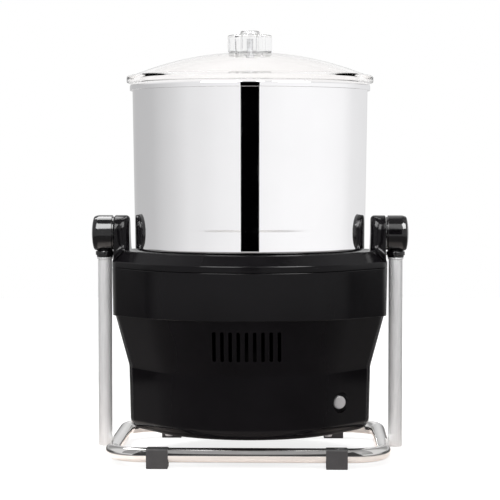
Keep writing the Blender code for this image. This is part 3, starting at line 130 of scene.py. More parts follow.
def bright_metal(name, colour, roughness, stretch, scale, shade=0.04, rough_spread=0.5, metallic=1.0):
    """Steel with fine polishing marks: the marks run where the stretch is small."""
    made, tree, shader = new_finish(name, colour, roughness, metallic)
    marks = pattern(tree, scale, stretch)
    roughs = (roughness * (1 - rough_spread), roughness * (1 + rough_spread))
    vary(tree, shader, colour, marks, (1 - shade, 1.0), marks, roughs, marks, 0.15, 0.004 * mm)
    return made


def placed(name, data):
    """A new object in the scene."""
    thing = bpy.data.objects.new(name, data)
    bpy.context.scene.collection.objects.link(thing)
    return thing


def facing_out(shape):
    """Turn all the faces of a closed shape outwards."""
    bmesh.ops.recalc_face_normals(shape, faces=shape.faces)
    return shape


def finished(name, shape, finish, body, node, crisp=32.0):
    """Turn a shape into a named piece that rides on its body and stands for a CAD node."""
    mesh = bpy.data.meshes.new(name)
    facing_out(shape).to_mesh(mesh)
    shape.free()
    mesh.shade_smooth()
    mesh.set_sharp_from_angle(angle=radians(crisp))
    mesh.materials.append(finish)
    thing = placed(name, mesh)
    flats = thing.modifiers.new("Flats stay flat", "WEIGHTED_NORMAL")
    flats.keep_sharp = True
    whole = bpy.data.meshes.new_from_object(thing.evaluated_get(bpy.context.evaluated_depsgraph_get()))
    thing.modifiers.clear()
    thing.data = whole
    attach(thing, body)
    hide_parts(node)


def skin(shape, rows, closed_rows=True, closed_column=False):
    """Faces between neighbouring rows of vertices, or a fan where a row is one point."""
    pairs = list(zip(rows, rows[1:]))
    if closed_column:
        pairs.append((rows[-1], rows[0]))
    for upper, lower in pairs:
        count = max(len(upper), len(lower))
        for i in range(count if closed_rows else count - 1):
            j = (i + 1) % count
            corners = [row[k % len(row)] for row, k in ((upper, i), (lower, i), (lower, j), (upper, j))]
            shape.faces.new(list(dict.fromkeys(corners)))


def swept(points, outward, radius, sides):
    """A closed tube along level points, each with its own outward direction."""
    shape = bmesh.new()
    up = Vector((0, 0, 1))
    angles = [2 * pi * i / sides for i in range(sides)]
    rows = [[shape.verts.new(point + radius * (cos(angle) * out + sin(angle) * up))
             for angle in angles] for point, out in zip(points, outward)]
    skin(shape, rows, closed_column=True)
    return shape


def loop_line():
    """The tube's centre line and outward directions: quarter bends and straight runs."""
    points, outward = [], []
    for quarter, (across, along) in enumerate(((1, 1), (-1, 1), (-1, -1), (1, -1))):
        middle = Vector((across * (loop_half_width - loop_corner), along * (loop_half_depth - loop_corner),
                         loop_height))
        for i in range(bend_steps + 1):
            angle = pi / 2 * (quarter + i / bend_steps)
            out = Vector((cos(angle), sin(angle), 0.0))
            points.append(middle + loop_corner * out)
            outward.append(out)
    return points, outward


chrome = bright_metal("polished_tube", chrome_colour, 0.05, (1.0, 1.0, 1.0), 60.0)
loop_tube = swept(*loop_line(), loop_radius, loop_sides)
finished("polished_base_loop", loop_tube, chrome, "stand", "base_loop")

# Rubber blocks: moulded feet that clip round the front and rear runs of the loop from below.
# They are dark grey with a dull skin, soft edges and a fine grain.
foot_bore = loop_radius + 0.3 * mm
foot_edge = 0.7 * mm
bore_steps = 28
foot_colour = (0.04, 0.038, 0.041)


def rounded(corners, steps=5):
    """A flat outline from corners (across, up, turn), each turned by an arc of that many millimetres."""
    points = []
    count = len(corners)
    for i, (across, up, turn_mm) in enumerate(corners):
        here = Vector((across, up))
        radius = turn_mm * mm
        if radius <= 0:
            points.append(here)
            continue
        back = (Vector(corners[i - 1][:2]) - here).normalized()
        ahead = (Vector(corners[(i + 1) % count][:2]) - here).normalized()
        half = back.angle(ahead) / 2
        middle = here + (back + ahead).normalized() * (radius / sin(half))
        start = here + back * (radius / tan(half)) - middle
        end = here + ahead * (radius / tan(half)) - middle
        turn = atan2(start.x * end.y - start.y * end.x, start.dot(end))
        for step in range(steps + 1):
            angle = turn * step / steps
            points.append(middle + Vector((start.x * cos(angle) - start.y * sin(angle),
                                           start.x * sin(angle) + start.y * cos(angle))))
    return points


def capped(shape, rows):
    """A skin over rows of vertices, with a face at each end."""
    skin(shape, rows)
    shape.faces.new(rows[0])
    shape.faces.new(rows[-1][::-1])
    return shape


def prism(outline, low, high, edge):
    """A straight bar of one outline along Z, its two end faces edged with a small round."""
    shape = bmesh.new()
    levels = [(low, edge), (low + edge * 0.3, edge * 0.3), (low + edge, 0.0),
              (high - edge, 0.0), (high - edge * 0.3, edge * 0.3), (high, edge)]
    count = len(outline)
    inward = []
    for i in range(count):
        run = (outline[(i + 1) % count] - outline[i - 1]).normalized()
        inward.append(Vector((-run.y, run.x)))
    area = sum(a.x * b.y - a.y * b.x for a, b in zip(outline, outline[1:] + outline[:1]))
    side = 1 if area > 0 else -1
    return capped(shape, [[shape.verts.new((*(point + side * inset * way), height))
                           for point, way in zip(outline, inward)] for height, inset in levels])


def moved(shape, matrix):
    """Move or turn a whole shape."""
    bmesh.ops.transform(shape, matrix=matrix, verts=shape.verts)
    return shape


rubber = grained("foot_rubber_skin", foot_colour, 0.55, 70.0, (0.8, 1.15), 900.0, (0.45, 0.7), 0.35, 0.05 * mm)
for place in ("front_left", "front_right", "rear_left", "rear_right"):
    low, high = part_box("foot_" + place)
    half_depth = (high.y - low.y) / 2
    mouth = asin((high.z - loop_height) / foot_bore)
    outline = rounded([(half_depth, high.z, 1.2), (half_depth, 0.0, 1.4),
                       (-half_depth, 0.0, 1.4), (-half_depth, high.z, 1.2)])
    right_side = sorted((p for p in outline if p.x > 0), key=lambda p: -atan2(p.y - loop_height, p.x))
    left_side = sorted((p for p in outline if p.x < 0), key=lambda p: atan2(p.y - loop_height, -p.x))
    bore_line = []
    for step in range(bore_steps + 1):
        angle = pi - mouth + (pi + 2 * mouth) * step / bore_steps
        bore_line.append(Vector((foot_bore * cos(angle), loop_height + foot_bore * sin(angle))))
    block = prism(right_side + left_side + bore_line, low.x, high.x, foot_edge)
    lying_on_x = Matrix(((0, 0, 1, 0), (1, 0, 0, (low.y + high.y) / 2), (0, 1, 0, 0), (0, 0, 0, 1)))
    finished("rubber_foot_" + place, moved(block, lying_on_x), rubber, "stand", "foot_" + place)

# Uprights: satin stainless tubes fixed beside the loop's side runs, where they carry the pivots.
# Each is closed at its foot, open at its head, and swells a little under its collar.
pivot_low, pivot_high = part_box("pivot_bush_left")
pivot_height = (pivot_low.z + pivot_high.z) / 2
tube_radius = 7.0 * mm
tube_wall = 1.2 * mm
tube_hollow = tube_radius - tube_wall
swell_radius = tube_radius + 0.9 * mm
satin_colour = (0.84, 0.84, 0.845)


def lathe(profile, sides):
    """A solid turned about Z from (radius, height) points; off the axis, a profile closes on itself."""
    shape = bmesh.new()
    rows = []
    for radius, height in profile:
        if radius < 0.001 * mm:
            rows.append([shape.verts.new((0.0, 0.0, height))])
            continue
        angles = [2 * pi * i / sides for i in range(sides)]
        rows.append([shape.verts.new((radius * cos(a), radius * sin(a), height)) for a in angles])
    skin(shape, rows, closed_column=len(rows[0]) > 1)
    return shape


satin = bright_metal("satin_tube_steel", satin_colour, 0.42, (1.0, 1.0, 0.04), 1400.0, 0.10, 0.25, 0.15)
upright_at = {}
for hand in ("left", "right"):
    low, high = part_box("upright_" + hand)
    upright_at[hand] = Matrix.Translation(((low.x + high.x) / 2, 0.0, 0.0))
    collar_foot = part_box("collar_" + hand)[0].z
    swell_top = collar_foot - 0.15 * mm
    upright_profile = rounded([
        (0.0, low.z, 0.0), (tube_radius, low.z, 0.9), (tube_radius, collar_foot - 2.0 * mm, 0.3),
        (swell_radius, collar_foot - 1.7 * mm, 0.5), (swell_radius, swell_top, 0.3),
        (tube_radius, swell_top, 0.0), (tube_radius, high.z, 0.4), (tube_hollow, high.z, 0.3),
        (tube_hollow, low.z + tube_wall, 0.0), (0.0, low.z + tube_wall, 0.0)])
    tube = moved(lathe(upright_profile, 48), upright_at[hand])
    finished("satin_upright_" + hand, tube, satin, "stand", "upright_" + hand)

# Pivot hubs and collars: gloss-black moulded caps over the uprights' heads. A hub is a short drum
# lying on its side with a domed end, and a collar on the tube is hollowed to carry it.
black_colour = (0.0048, 0.0042, 0.0052)
hands = (("left", -1), ("right", 1))
hub_radius = 18.2 * mm
hub_step_radius = 16.8 * mm
hub_step = 1.6 * mm
collar_radius = 9.4 * mm
collar_low_radius = 8.3 * mm
neck_radius = collar_radius - 1.5 * mm
collar_bore = tube_radius + 0.3 * mm


def combined(shape, operation, *others):
    """Cut, join or intersect a closed shape with others in turn."""
    for other in others:
        things = []
        for part in (shape, other):
            mesh = bpy.data.meshes.new("blank")
            part.to_mesh(mesh)
            part.free()
            things.append(placed("blank", mesh))
        step = things[0].modifiers.new("Join", "BOOLEAN")
        step.operation = operation
        step.solver = "EXACT"
        step.object = things[1]
        depsgraph = bpy.context.evaluated_depsgraph_get()
        shape = bmesh.new()
        shape.from_mesh(things[0].evaluated_get(depsgraph).to_mesh())
        for thing in things:
            bpy.data.objects.remove(thing)
        bmesh.ops.dissolve_degenerate(shape, dist=0.0005 * mm, edges=shape.edges)
    return shape


def along_x(shape, side, x, z):
    """Lay a piece turned about Z along X, its top facing out on the given side."""
    return moved(shape, Matrix.Translation((x, 0.0, z)) @ Matrix.Rotation(side * pi / 2, 4, "Y"))


def rod(radius, low, high, sides=64):
    """A plain round bar about Z, mostly to cut with."""
    return lathe([(0.0, high), (radius, high), (radius, low), (0.0, low)], sides)


def gloss_black(name, roughness, peel=0.02, shine=0.13):
    """Glossy black moulded plastic: a faint flow pattern in the gloss and a trace of orange peel."""
    gloss = {"IOR": 1.5, "Specular IOR Level": shine}
    made, tree, shader = new_finish(name, black_colour, roughness, more=gloss)
    flow = pattern(tree, 22.0, detail=4.0)
    vary(tree, shader, black_colour, flow, (0.85, 1.25), flow, (roughness * 0.7, roughness * 1.4),
         pattern(tree, 260.0, detail=2.0), peel, 0.02 * mm)
    return made


hub_black = gloss_black("hub_black", 0.09, shine=0.45)
for hand, side in hands:
    low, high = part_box("pivot_hub_" + hand)
    inner_x, outer_x = (high.x, low.x) if side < 0 else (low.x, high.x)
    length = abs(outer_x - inner_x)
    hub_profile = rounded([
        (0.0, length, 0.0), (hub_radius * 0.55, length - 0.4 * mm, 40),
        (hub_radius * 0.93, length - 2.2 * mm, 3.0), (hub_radius, length - 6.5 * mm, 8.0),
        (hub_radius, hub_step, 0.5), (hub_step_radius, hub_step, 0.3),
        (hub_step_radius, 0.0, 0.4), (0.0, 0.0, 0.0)], 7)
    hub = along_x(lathe(hub_profile, 72), side, inner_x, pivot_height)
    finished("gloss_pivot_hub_" + hand, hub, hub_black, "stand", "pivot_hub_" + hand)

    low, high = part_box("collar_" + hand)
    step_height = low.z + 2.0 * mm
    collar_profile = rounded([
        (neck_radius, high.z, 0.0), (neck_radius, step_height + 6.2 * mm, 0.3),
        (collar_radius, step_height + 3.4 * mm, 0.5), (collar_radius, step_height, 0.7),
        (collar_low_radius, step_height, 0.2), (collar_low_radius, low.z, 0.5),
        (collar_bore, low.z, 0.3), (collar_bore, high.z, 0.0)])
    collar = moved(lathe(collar_profile, 48), upright_at[hand])
    saddle = rod(hub_radius + 0.25 * mm, -30 * mm, 30 * mm, 72)
    saddle = along_x(saddle, side, upright_at[hand].translation.x, pivot_height)
    collar = combined(collar, "DIFFERENCE", saddle)
    finished("gloss_collar_" + hand, collar, hub_black, "stand", "collar_" + hand)

# Pivot pins and bushes: a steel pin fixed in each hub turns in a nylon bush in the ear.
# Both are hidden by the hubs, so they keep their CAD shapes.


def plain_finish(name, colour, roughness, metallic):
    """The finish of a mostly hidden piece: faint clouds in its colour and a fine grain."""
    roughs = (roughness * 0.8, roughness * 1.2)
    return grained(name, colour, roughness, 60.0, (0.85, 1.0), 400.0, roughs, 0.2, 0.03 * mm, metallic)


def keep_cad(finish, *names):
    """Let CAD nodes keep their shapes, and give them one finish."""
    for name in names:
        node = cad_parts[name]
        node.data.materials.clear()
        node.data.materials.append(finish)


satin_steel = plain_finish("satin_steel_finish", (0.66, 0.66, 0.67), 0.3, 1.0)
nylon = plain_finish("nylon_finish", (0.72, 0.70, 0.64), 0.5, 0.0)
keep_cad(satin_steel, "trunnion_pin_left", "trunnion_pin_right")
keep_cad(nylon, "pivot_bush_left", "pivot_bush_right")

# Top cover: a moulded black dish turned over, with a soft sloping rim. The two pivot ears are
# moulded in one with it and flow into its shoulders, and a lip rings the hole for the drive.
housing_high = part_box("main_housing")[1]
body_half = housing_high.x
seam_height = housing_high.z
cover_top = 204.0 * mm
cover_ridge = cover_top + 1.7 * mm
cover_foot = seam_height + 0.3 * mm
body_wall = 3.0 * mm
depth_share = 0.92
crease_across = 0.74
crease_along = 0.59
corner_share = 0.075
ear_outer_x = 137.0 * mm
ear_thickness = 15.2 * mm
ear_foot_extra = 0.6 * mm
ear_crown = 11.0 * mm
ear_corner = 4.0 * mm
ear_spread = 3.0 * mm
ear_front_fillet = 7.0 * mm
ear_inner_fillet = 2.6 * mm
ear_outer_edge = 1.3 * mm
ear_crest = 3.2 * mm
ear_foot_heights = [height * mm for height in (-2.0, 0.0, 0.25, 0.7, 1.4, 2.4, 3.6, 5.0, 7.0, 10.0, 14.0)]
hole_radius = 34.0 * mm
lip_outer, lip_inner = hole_radius + 3 * mm, hole_radius - 4 * mm
lip_top, lip_foot = cover_top + 1.0 * mm, cover_top - 1.5 * mm
hair = 0.01 * mm


def body_outline(half_width, bow_steps=26, round_steps=6):
    """The body's outline: flat sides, a facet off each of them, and a bowed front and back."""
    half_depth = half_width * depth_share
    crease = Vector((half_width * crease_across, half_depth * crease_along))
    bow = half_depth - crease.y
    bow_radius = (crease.x ** 2 + bow ** 2) / (2 * bow)
    swing = asin(crease.x / bow_radius)
    corner = Vector((half_width, crease.y - (half_width - crease.x) * tan(swing)))
    reach = half_width * corner_share
    before = corner - Vector((0.0, reach))
    after = corner + (crease - corner).normalized() * reach
    quarter = [Vector((half_width, 0.0)), (Vector((half_width, 0.0)) + before) / 2]
    for i in range(round_steps + 1):
        t = i / round_steps
        quarter.append(before * (1 - t) ** 2 + corner * 2 * t * (1 - t) + after * t ** 2)
    quarter.append((after + crease) / 2)
    for i in range(bow_steps // 2):
        angle = swing * (1 - 2 * i / bow_steps)
        quarter.append(Vector((bow_radius * sin(angle), half_depth - bow_radius * (1 - cos(angle)))))
    half = quarter + [Vector((0.0, half_depth))] + [Vector((-p.x, p.y)) for p in reversed(quarter)]
    return half[:-1] + [-p for p in half[:-1]]


def body_rings(shape, profile):
    """Rows of vertices round the body, one for each (half width, height) of a profile."""
    return [[shape.verts.new((*point, height)) for point in body_outline(half_width)]
            for half_width, height in profile]


def body_solid(profile):
    """A solid that has the body's outline at each (half width, height) of a profile."""
    shape = bmesh.new()
    return facing_out(capped(shape, body_rings(shape, profile)))


edge_x = body_half
cover_outer = rounded([
    (edge_x * 0.78, cover_top, 0.0), (edge_x * 0.86, cover_top, 8), (edge_x * 0.905, cover_ridge, 3.0),
    (edge_x * 0.926, cover_ridge, 3.0), (edge_x, cover_top - 8.9 * mm, 1.8),
    (edge_x, cover_foot, 0.6), (edge_x - body_wall, cover_foot, 0.0)], 6)
cover_inner = [(edge_x - body_wall, cover_top - 11.6 * mm), (edge_x * 0.90, cover_top - 3.4 * mm),
               (edge_x * 0.78, cover_top - 3 * mm)]


def cover_surface(x):
    """Height of the cover's outside at a place across it, beside the ears."""
    for (near, high), (far, low) in zip(cover_outer, cover_outer[1:]):
        if near <= x <= far and far > near:
            return high + (low - high) * (x - near) / (far - near)
    return cover_top


def fillet(height, radius):
    """How far a wall of the ear has flared out at a height over the cover."""
    drop = min(max(radius - height, 0.0), radius)
    return radius - sqrt(radius * radius - drop * drop)


def ear_depths(edge_steps=6, crown_steps=12):
    """Levels through an ear from its outer face: how far in, and how far its front and its head draw back."""
    depths = []
    for i in range(edge_steps):
        angle = pi / 2 * i / (edge_steps - 1)
        inset = ear_outer_edge * (1 - sin(angle))
        depths.append((ear_outer_edge * (1 - cos(angle)), inset, inset))
    for i in range(crown_steps):
        angle = pi / 2 * i / (crown_steps - 1)
        over = ear_crest + (ear_thickness - ear_crest) * sin(angle)
        corner = max(over - ear_thickness + ear_corner, 0.0) / ear_corner
        depths.append((over, hair + ear_crown * (1 - cos(angle)),
                       hair + ear_corner * (1 - sqrt(1 - corner * corner))))
    return depths


def ear_shape(side, head_steps=16):
    """One pivot ear: a round-headed slab, rounded over towards the drum and flared at the foot."""
    shape = bmesh.new()
    rows = []
    for over, inset, drop in ear_depths():
        share = over / ear_thickness
        half = []
        for height in ear_foot_heights:
            above = max(height, 0.0)
            near_foot = 1 - above / (pivot_height - cover_top)
            flare = ear_foot_extra * near_foot + fillet(above, ear_inner_fillet)
            x = ear_outer_x - over - flare * share ** 6
            front = hub_radius + ear_spread * near_foot + fillet(above, ear_front_fillet) - inset
            half.append((side * x, -front, cover_surface(x) + height))
        for i in range(1, head_steps + 1):
            angle = pi / 2 * i / head_steps
            half.append((side * (ear_outer_x - over), -(hub_radius - inset) * cos(angle),
                         pivot_height + (hub_radius - drop) * sin(angle)))
        whole = half + [(x, -y, z) for x, y, z in reversed(half[:-1])]
        rows.append([shape.verts.new(p) for p in whole])
    skin(shape, rows, closed_rows=False)
    count = len(rows[0])
    for end in (rows[0], rows[-1]):
        for i in range(count // 2):
            a, b, c, d = end[i], end[i + 1], end[count - 2 - i], end[count - 1 - i]
            shape.faces.new((a, b, d) if b is c else (a, b, c, d))
    for lower, upper in zip(rows, rows[1:]):
        shape.faces.new((lower[0], upper[0], upper[-1], lower[-1]))
    return facing_out(shape)


lip = lathe(rounded([(lip_outer, lip_top, 0.5), (lip_outer, lip_foot, 0.0), (lip_inner, lip_foot, 0.0),
                     (lip_inner, lip_top, 0.0)]), 64)
cover = combined(body_solid(cover_outer + cover_inner), "UNION", ear_shape(-1), ear_shape(1), lip)
cover = combined(cover, "DIFFERENCE", rod(hole_radius, cover_top - 9 * mm, cover_top + 9 * mm))
body_black = gloss_black("body_black", 0.11)
cover_black = gloss_black("cover_black", 0.13)
finished("gloss_top_cover", cover, cover_black, "tilting_body", "top_cover")

# Main housing: the deep black moulding under the parting line. Its upper band overhangs a sloping
# middle with nine vent slots, and the lower wall carries the sunk switch seat.
block_foot = 139.4 * mm
block_edge = body_half - 3.2 * mm
foot_rise, foot_arch = 1.6 * mm, 2.6 * mm
slope_foot = 90.0 * mm
bottom_height = 26.4 * mm
bottom_round = 11.0 * mm
wall_foot = bottom_height + bottom_round
split_angle = radians(36)
lower_half = body_half * 0.8786
bottom_half = lower_half - 1.2 * mm
slot_count = 9
slot_pitch = 7.84 * mm
slot_width = 3.4 * mm
slot_low, slot_high = 103.6 * mm, 132.4 * mm
button_x = lower_half * 0.736 + 1.6 * mm
button_height = 58.4 * mm
button_yaw = radians(20)
seat_radius = 10.1 * mm
seat_depth = 7.5 * mm


def foot_round(start, end, inset=0.0, steps=5):
    """(half width, height) points on the round at the body's foot, between two angles below the wall."""
    points = []
    for i in range(steps + 1):
        angle = start + (end - start) * i / steps
        points.append((bottom_half - bottom_round + (bottom_round - inset) * cos(angle),
                       bottom_height + bottom_round - (bottom_round - inset) * sin(angle)))
    return points


def tapered(at, start, end, first, last):
    """The size at a place on a straight taper that runs from its first size to its last."""
    share = (at - start) / (end - start)
    return first + (last - first) * share


def front_y(x, half_width):
    """Y of the bowed front at a place across the body."""
    half_depth = half_width * depth_share
    crease_x, crease_y = half_width * crease_across, half_depth * crease_along
    bow = half_depth - crease_y
    bow_radius = (crease_x ** 2 + bow ** 2) / (2 * bow)
    return -(half_depth - bow_radius + sqrt(bow_radius ** 2 - x ** 2))


def slot_line(half_width, low, high, turn):
    """The outline of one slot with rounded corners."""
    return rounded([(half_width, high, turn), (half_width, low, turn),
                    (-half_width, low, turn), (-half_width, high, turn)], 4)


def slot_cutters(bars):
    """One shape to cut a bank of slots with; each bar is given by the outlines of its two ends."""
    shape = bmesh.new()
    for ends in bars:
        capped(shape, [[shape.verts.new(point) for point in end] for end in ends])
    return facing_out(shape)


housing_outer = rounded([
    (body_half - body_wall, seam_height, 0.0), (body_half, seam_height, 0.8),
    (body_half - 0.8 * mm, block_foot, 0.15), (block_edge, block_foot - 0.2 * mm, 0.7),
    (lower_half, slope_foot, 16), (bottom_half, wall_foot, 0.0)], 6)
housing_line = housing_outer[:-1] + foot_round(0.0, split_angle)
housing_line += foot_round(0.0, split_angle, body_wall)[::-1]
housing_line += [(lower_half - body_wall, slope_foot), (block_edge - body_wall, block_foot - body_wall),
                 (body_half - body_wall, block_foot + body_wall)]
housing = bmesh.new()
skin(housing, body_rings(housing, housing_line), closed_column=True)
for vert in housing.verts:
    reach = (seam_height - block_foot) if vert.co.z > block_foot else (block_foot - slope_foot)
    near_foot = max(0.0, 1 - abs(vert.co.z - block_foot) / reach)
    vert.co.z += near_foot * (foot_rise + foot_arch * max(0.0, 1 - (vert.co.x / body_half) ** 2))
slot_outline = slot_line(slot_width / 2, slot_low, slot_high, 1.2)
slot_xs = [(i - (slot_count - 1) / 2) * slot_pitch for i in range(slot_count)]
slots = slot_cutters([[[(x + p.x, y, p.y) for p in slot_outline] for y in (-135 * mm, -90 * mm)]
                      for x in slot_xs])
housing = combined(facing_out(housing), "DIFFERENCE", slots)

button_half = tapered(button_height, bottom_height, slope_foot, bottom_half, lower_half)
out = Vector((sin(button_yaw), -cos(button_yaw), 0.0))
seat_place = Vector((button_x, front_y(button_x, button_half), button_height)) - out * seat_depth
at_button = (Matrix.Translation(seat_place) @ Matrix.Rotation(button_yaw, 4, "Z")
                  @ Matrix.Rotation(pi / 2, 4, "X"))
pad = facing_out(moved(rod(seat_radius + 3.4 * mm, -4 * mm, 14 * mm), at_button))
within = body_solid([
    (body_half - 2 * mm, seam_height - 1 * mm), (body_half - 2 * mm, block_foot + 1 * mm),
    (lower_half - 1.5 * mm, slope_foot), (bottom_half - 1.5 * mm, wall_foot)])
housing = combined(housing, "UNION", combined(pad, "INTERSECT", within))
housing = combined(housing, "DIFFERENCE", moved(rod(seat_radius, 0.0, 30 * mm), at_button))
finished("gloss_main_housing", housing, body_black, "tilting_body", "main_housing")

# Switch: a black bezel snapped into the sunk seat with a round grey push button in its middle.
# The button has a softly rounded rim and moves straight in.
bezel_radius, bezel_face, bezel_back = 9.8 * mm, 2.3 * mm, 0.3 * mm
barrel_radius, barrel_length = 8.1 * mm, 20 * mm
well_depth = 3.8 * mm
cap_radius = 6.45 * mm
well_radius = cap_radius + 0.3 * mm
grey_colour = (0.58, 0.57, 0.58)
switch_black = gloss_black("switch_black", 0.3, 0.1)
bezel = lathe(rounded([
    (0.0, -well_depth, 0.0), (well_radius, -well_depth, 0.0), (well_radius, bezel_face, 0.5),
    (bezel_radius, bezel_face, 0.9), (bezel_radius, bezel_back, 0.0), (barrel_radius, bezel_back, 0.0),
    (barrel_radius, -barrel_length, 0.5), (0.0, -barrel_length, 0.0)], 4), 64)
bezel = moved(bezel, at_button)
finished("switch_bezel", bezel, switch_black, "tilting_body", "switch_body")
grey = grained("button_grey_plastic", grey_colour, 0.35, 120.0, (0.93, 1.0), 500.0, (0.3, 0.42),
               0.15, 0.02 * mm)
cap = lathe(rounded([(0.0, 4.3 * mm, 0.0), (cap_radius * 0.72, 4.5 * mm, 12),
                     (cap_radius, 4.3 * mm, 1.2), (cap_radius, -1.0 * mm, 0.0),
                     (0.0, -1.0 * mm, 0.0)], 7), 64)
finished("grey_push_button", moved(cap, at_button), grey, "button", "power_button")

# Bottom cover: the black dish that closes the housing from below, with two banks of vents and
# four screws. Its rim carries on the round of the housing's foot.
cover_start = split_angle + 0.3 * mm / bottom_round
vent_columns, vent_pitch = 6, 11 * mm
vent_bank_y = 34 * mm
dish = body_solid(foot_round(cover_start, pi / 2, steps=7)[::-1]
                  + foot_round(cover_start, pi / 2, body_wall, 7))
vent_outline = slot_line(2 * mm, -23 * mm, 23 * mm, 1.6)
vent_places = [((i - (vent_columns - 1) / 2) * vent_pitch, along * vent_bank_y)
               for along in (-1, 1) for i in range(vent_columns)]
vents = slot_cutters([[[(x + p.x, y + p.y, z) for p in vent_outline] for z in (20 * mm, 35 * mm)]
                      for x, y in vent_places])
dish_black = gloss_black("dish_black", 0.35, shine=0.03)
dish = combined(dish, "DIFFERENCE", vents)
finished("black_bottom_cover", dish, dish_black, "tilting_body", "bottom_cover")

# Drive: a zinc-plated plate screwed on four pillars carries the motor. A rubber belt joins its pulley to
# a large alloy one that turns on the fixed steel spindle with the drum's flange. The body hides it all.
zinc_steel = plain_finish("zinc_steel_finish", (0.55, 0.56, 0.58), 0.38, 1.0)
lamination = plain_finish("lamination_finish", (0.25, 0.25, 0.27), 0.5, 0.8)
cast_alloy = plain_finish("cast_alloy_finish", (0.5, 0.5, 0.51), 0.45, 0.9)
belt_rubber = plain_finish("belt_rubber_finish", (0.015, 0.015, 0.015), 0.8, 0.0)
matte_black = plain_finish("black_matte_finish", (0.02, 0.02, 0.021), 0.5, 0.0)
keep_cad(zinc_steel, "chassis_plate", "spindle_nut",
            *[f"{kind}_screw_{i}" for kind in ("bottom", "chassis") for i in range(1, 5)])
keep_cad(satin_steel, "centre_spindle", "lower_bearing", "upper_bearing")
keep_cad(lamination, "motor_stator", "motor_rotor")
keep_cad(cast_alloy, "motor_upper_shield", "motor_lower_shield", "motor_pulley", "driven_pulley",
            "drive_flange")
keep_cad(nylon, "cooling_fan", "run_capacitor")
keep_cad(belt_rubber, "drive_belt")
keep_cad(matte_black, "cord_gland")

# Drum: one deep-drawn stainless vessel with a rolled rim, polished like a mirror outside. A light
# groove and a rounded foot ring it low down, and a tube in its floor lets the spindle through.
drum_low, drum_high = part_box("drum")
drum_floor, drum_rim = drum_low.z, drum_high.z
drum_foot = 116.0 * mm
drum_top = 118.5 * mm
drum_wall = 1.0 * mm
bead_radius, bead_steps = 3.8 * mm, 16
bead_outer = drum_high.x
bead_x, bead_z = bead_outer - bead_radius, drum_rim - bead_radius
bead_foot = bead_z - bead_radius * 0.95
groove_height = drum_floor + 21.8 * mm
groove_half = 2.2 * mm
groove_low, groove_high = groove_height - groove_half, groove_height + groove_half
tube_bore, tube_outer, tube_top = 9.5 * mm, 13 * mm, 300 * mm
drum_colour = (0.93, 0.925, 0.93)


def drum_at(height):
    return tapered(height, drum_floor, drum_rim - 2 * bead_radius, drum_foot, drum_top)


bead = [(bead_x + bead_radius * cos(a), bead_z + bead_radius * sin(a))
        for a in (radians(160 - 160 * i / bead_steps) for i in range(bead_steps + 1))]
bead += [(bead_outer, bead_foot + 0.4 * mm), (bead_outer - 0.12 * mm, bead_foot + 0.12 * mm),
         (bead_outer - 0.4 * mm, bead_foot)]
drum_outer = rounded([
    (drum_at(bead_foot), bead_foot, 0.0), (drum_at(groove_high), groove_high, 2),
    (drum_at(groove_height) - 0.05 * mm, groove_height, 1.6),
    (drum_at(groove_low), groove_low, 2), (drum_foot, drum_floor, 3.4),
    (tube_bore, drum_floor, 1.0), (tube_bore, tube_top, 0.4), (tube_outer, tube_top, 0.8),
    (tube_outer, drum_floor + drum_wall, 3.0),
    (drum_foot - drum_wall, drum_floor + drum_wall, 3.0),
    (drum_at(bead_foot) - drum_wall, bead_foot, 0.0)], 8)
mirror = bright_metal("mirror_drum_steel", drum_colour, 0.035, (1.0, 1.0, 1.0), 25.0, 0.02, 0.5)
drum_shape = lathe(bead + drum_outer, 160)
finished("mirror_drum", drum_shape, mirror, "drum_assembly", "drum", crisp=50)

# Stones: a dark granite bed with a raised cone, clamped in the drum, and two tapered granite
# rollers that run on it. The stone is fine-grained, with pale and black flecks.
roller_height = 257.0 * mm
roller_near, roller_far = 30 * mm, 92 * mm
roller_inner, roller_outer = 18 * mm, 37 * mm
roller_bore = 8.2 * mm
bed_bore, bed_radius = 16.3 * mm, 96 * mm
bed_land = roller_near - 2 * mm
bed_foot = drum_floor + 1.3 * mm
granite_colour = (0.10, 0.098, 0.096)
granite_flecks = ((0.0, (0.025, 0.024, 0.024)), (0.35, (0.06, 0.0588, 0.057)), (0.62, (0.12, 0.1176, 0.114)),
                  (0.85, (0.18, 0.1764, 0.171)), (1.0, (0.34, 0.335, 0.32)))


def bed_at(x):
    roller = tapered(x, roller_near, roller_far, roller_inner, roller_outer)
    return roller_height - roller - 0.4 * mm


def ramp(tree, source, tones):
    """A colour by a value from 0 to 1; tones are (value, colour) pairs, the first at 0 and the last at 1."""
    shade = add_node(tree, "ValToRGB", "Color", {"Fac": source})
    stops = shade.node.color_ramp.elements
    stops[0].color, stops[1].color = (*tones[0][1], 1), (*tones[-1][1], 1)
    for at, colour in tones[1:-1]:
        stops.new(at).color = (*colour, 1)
    return shade


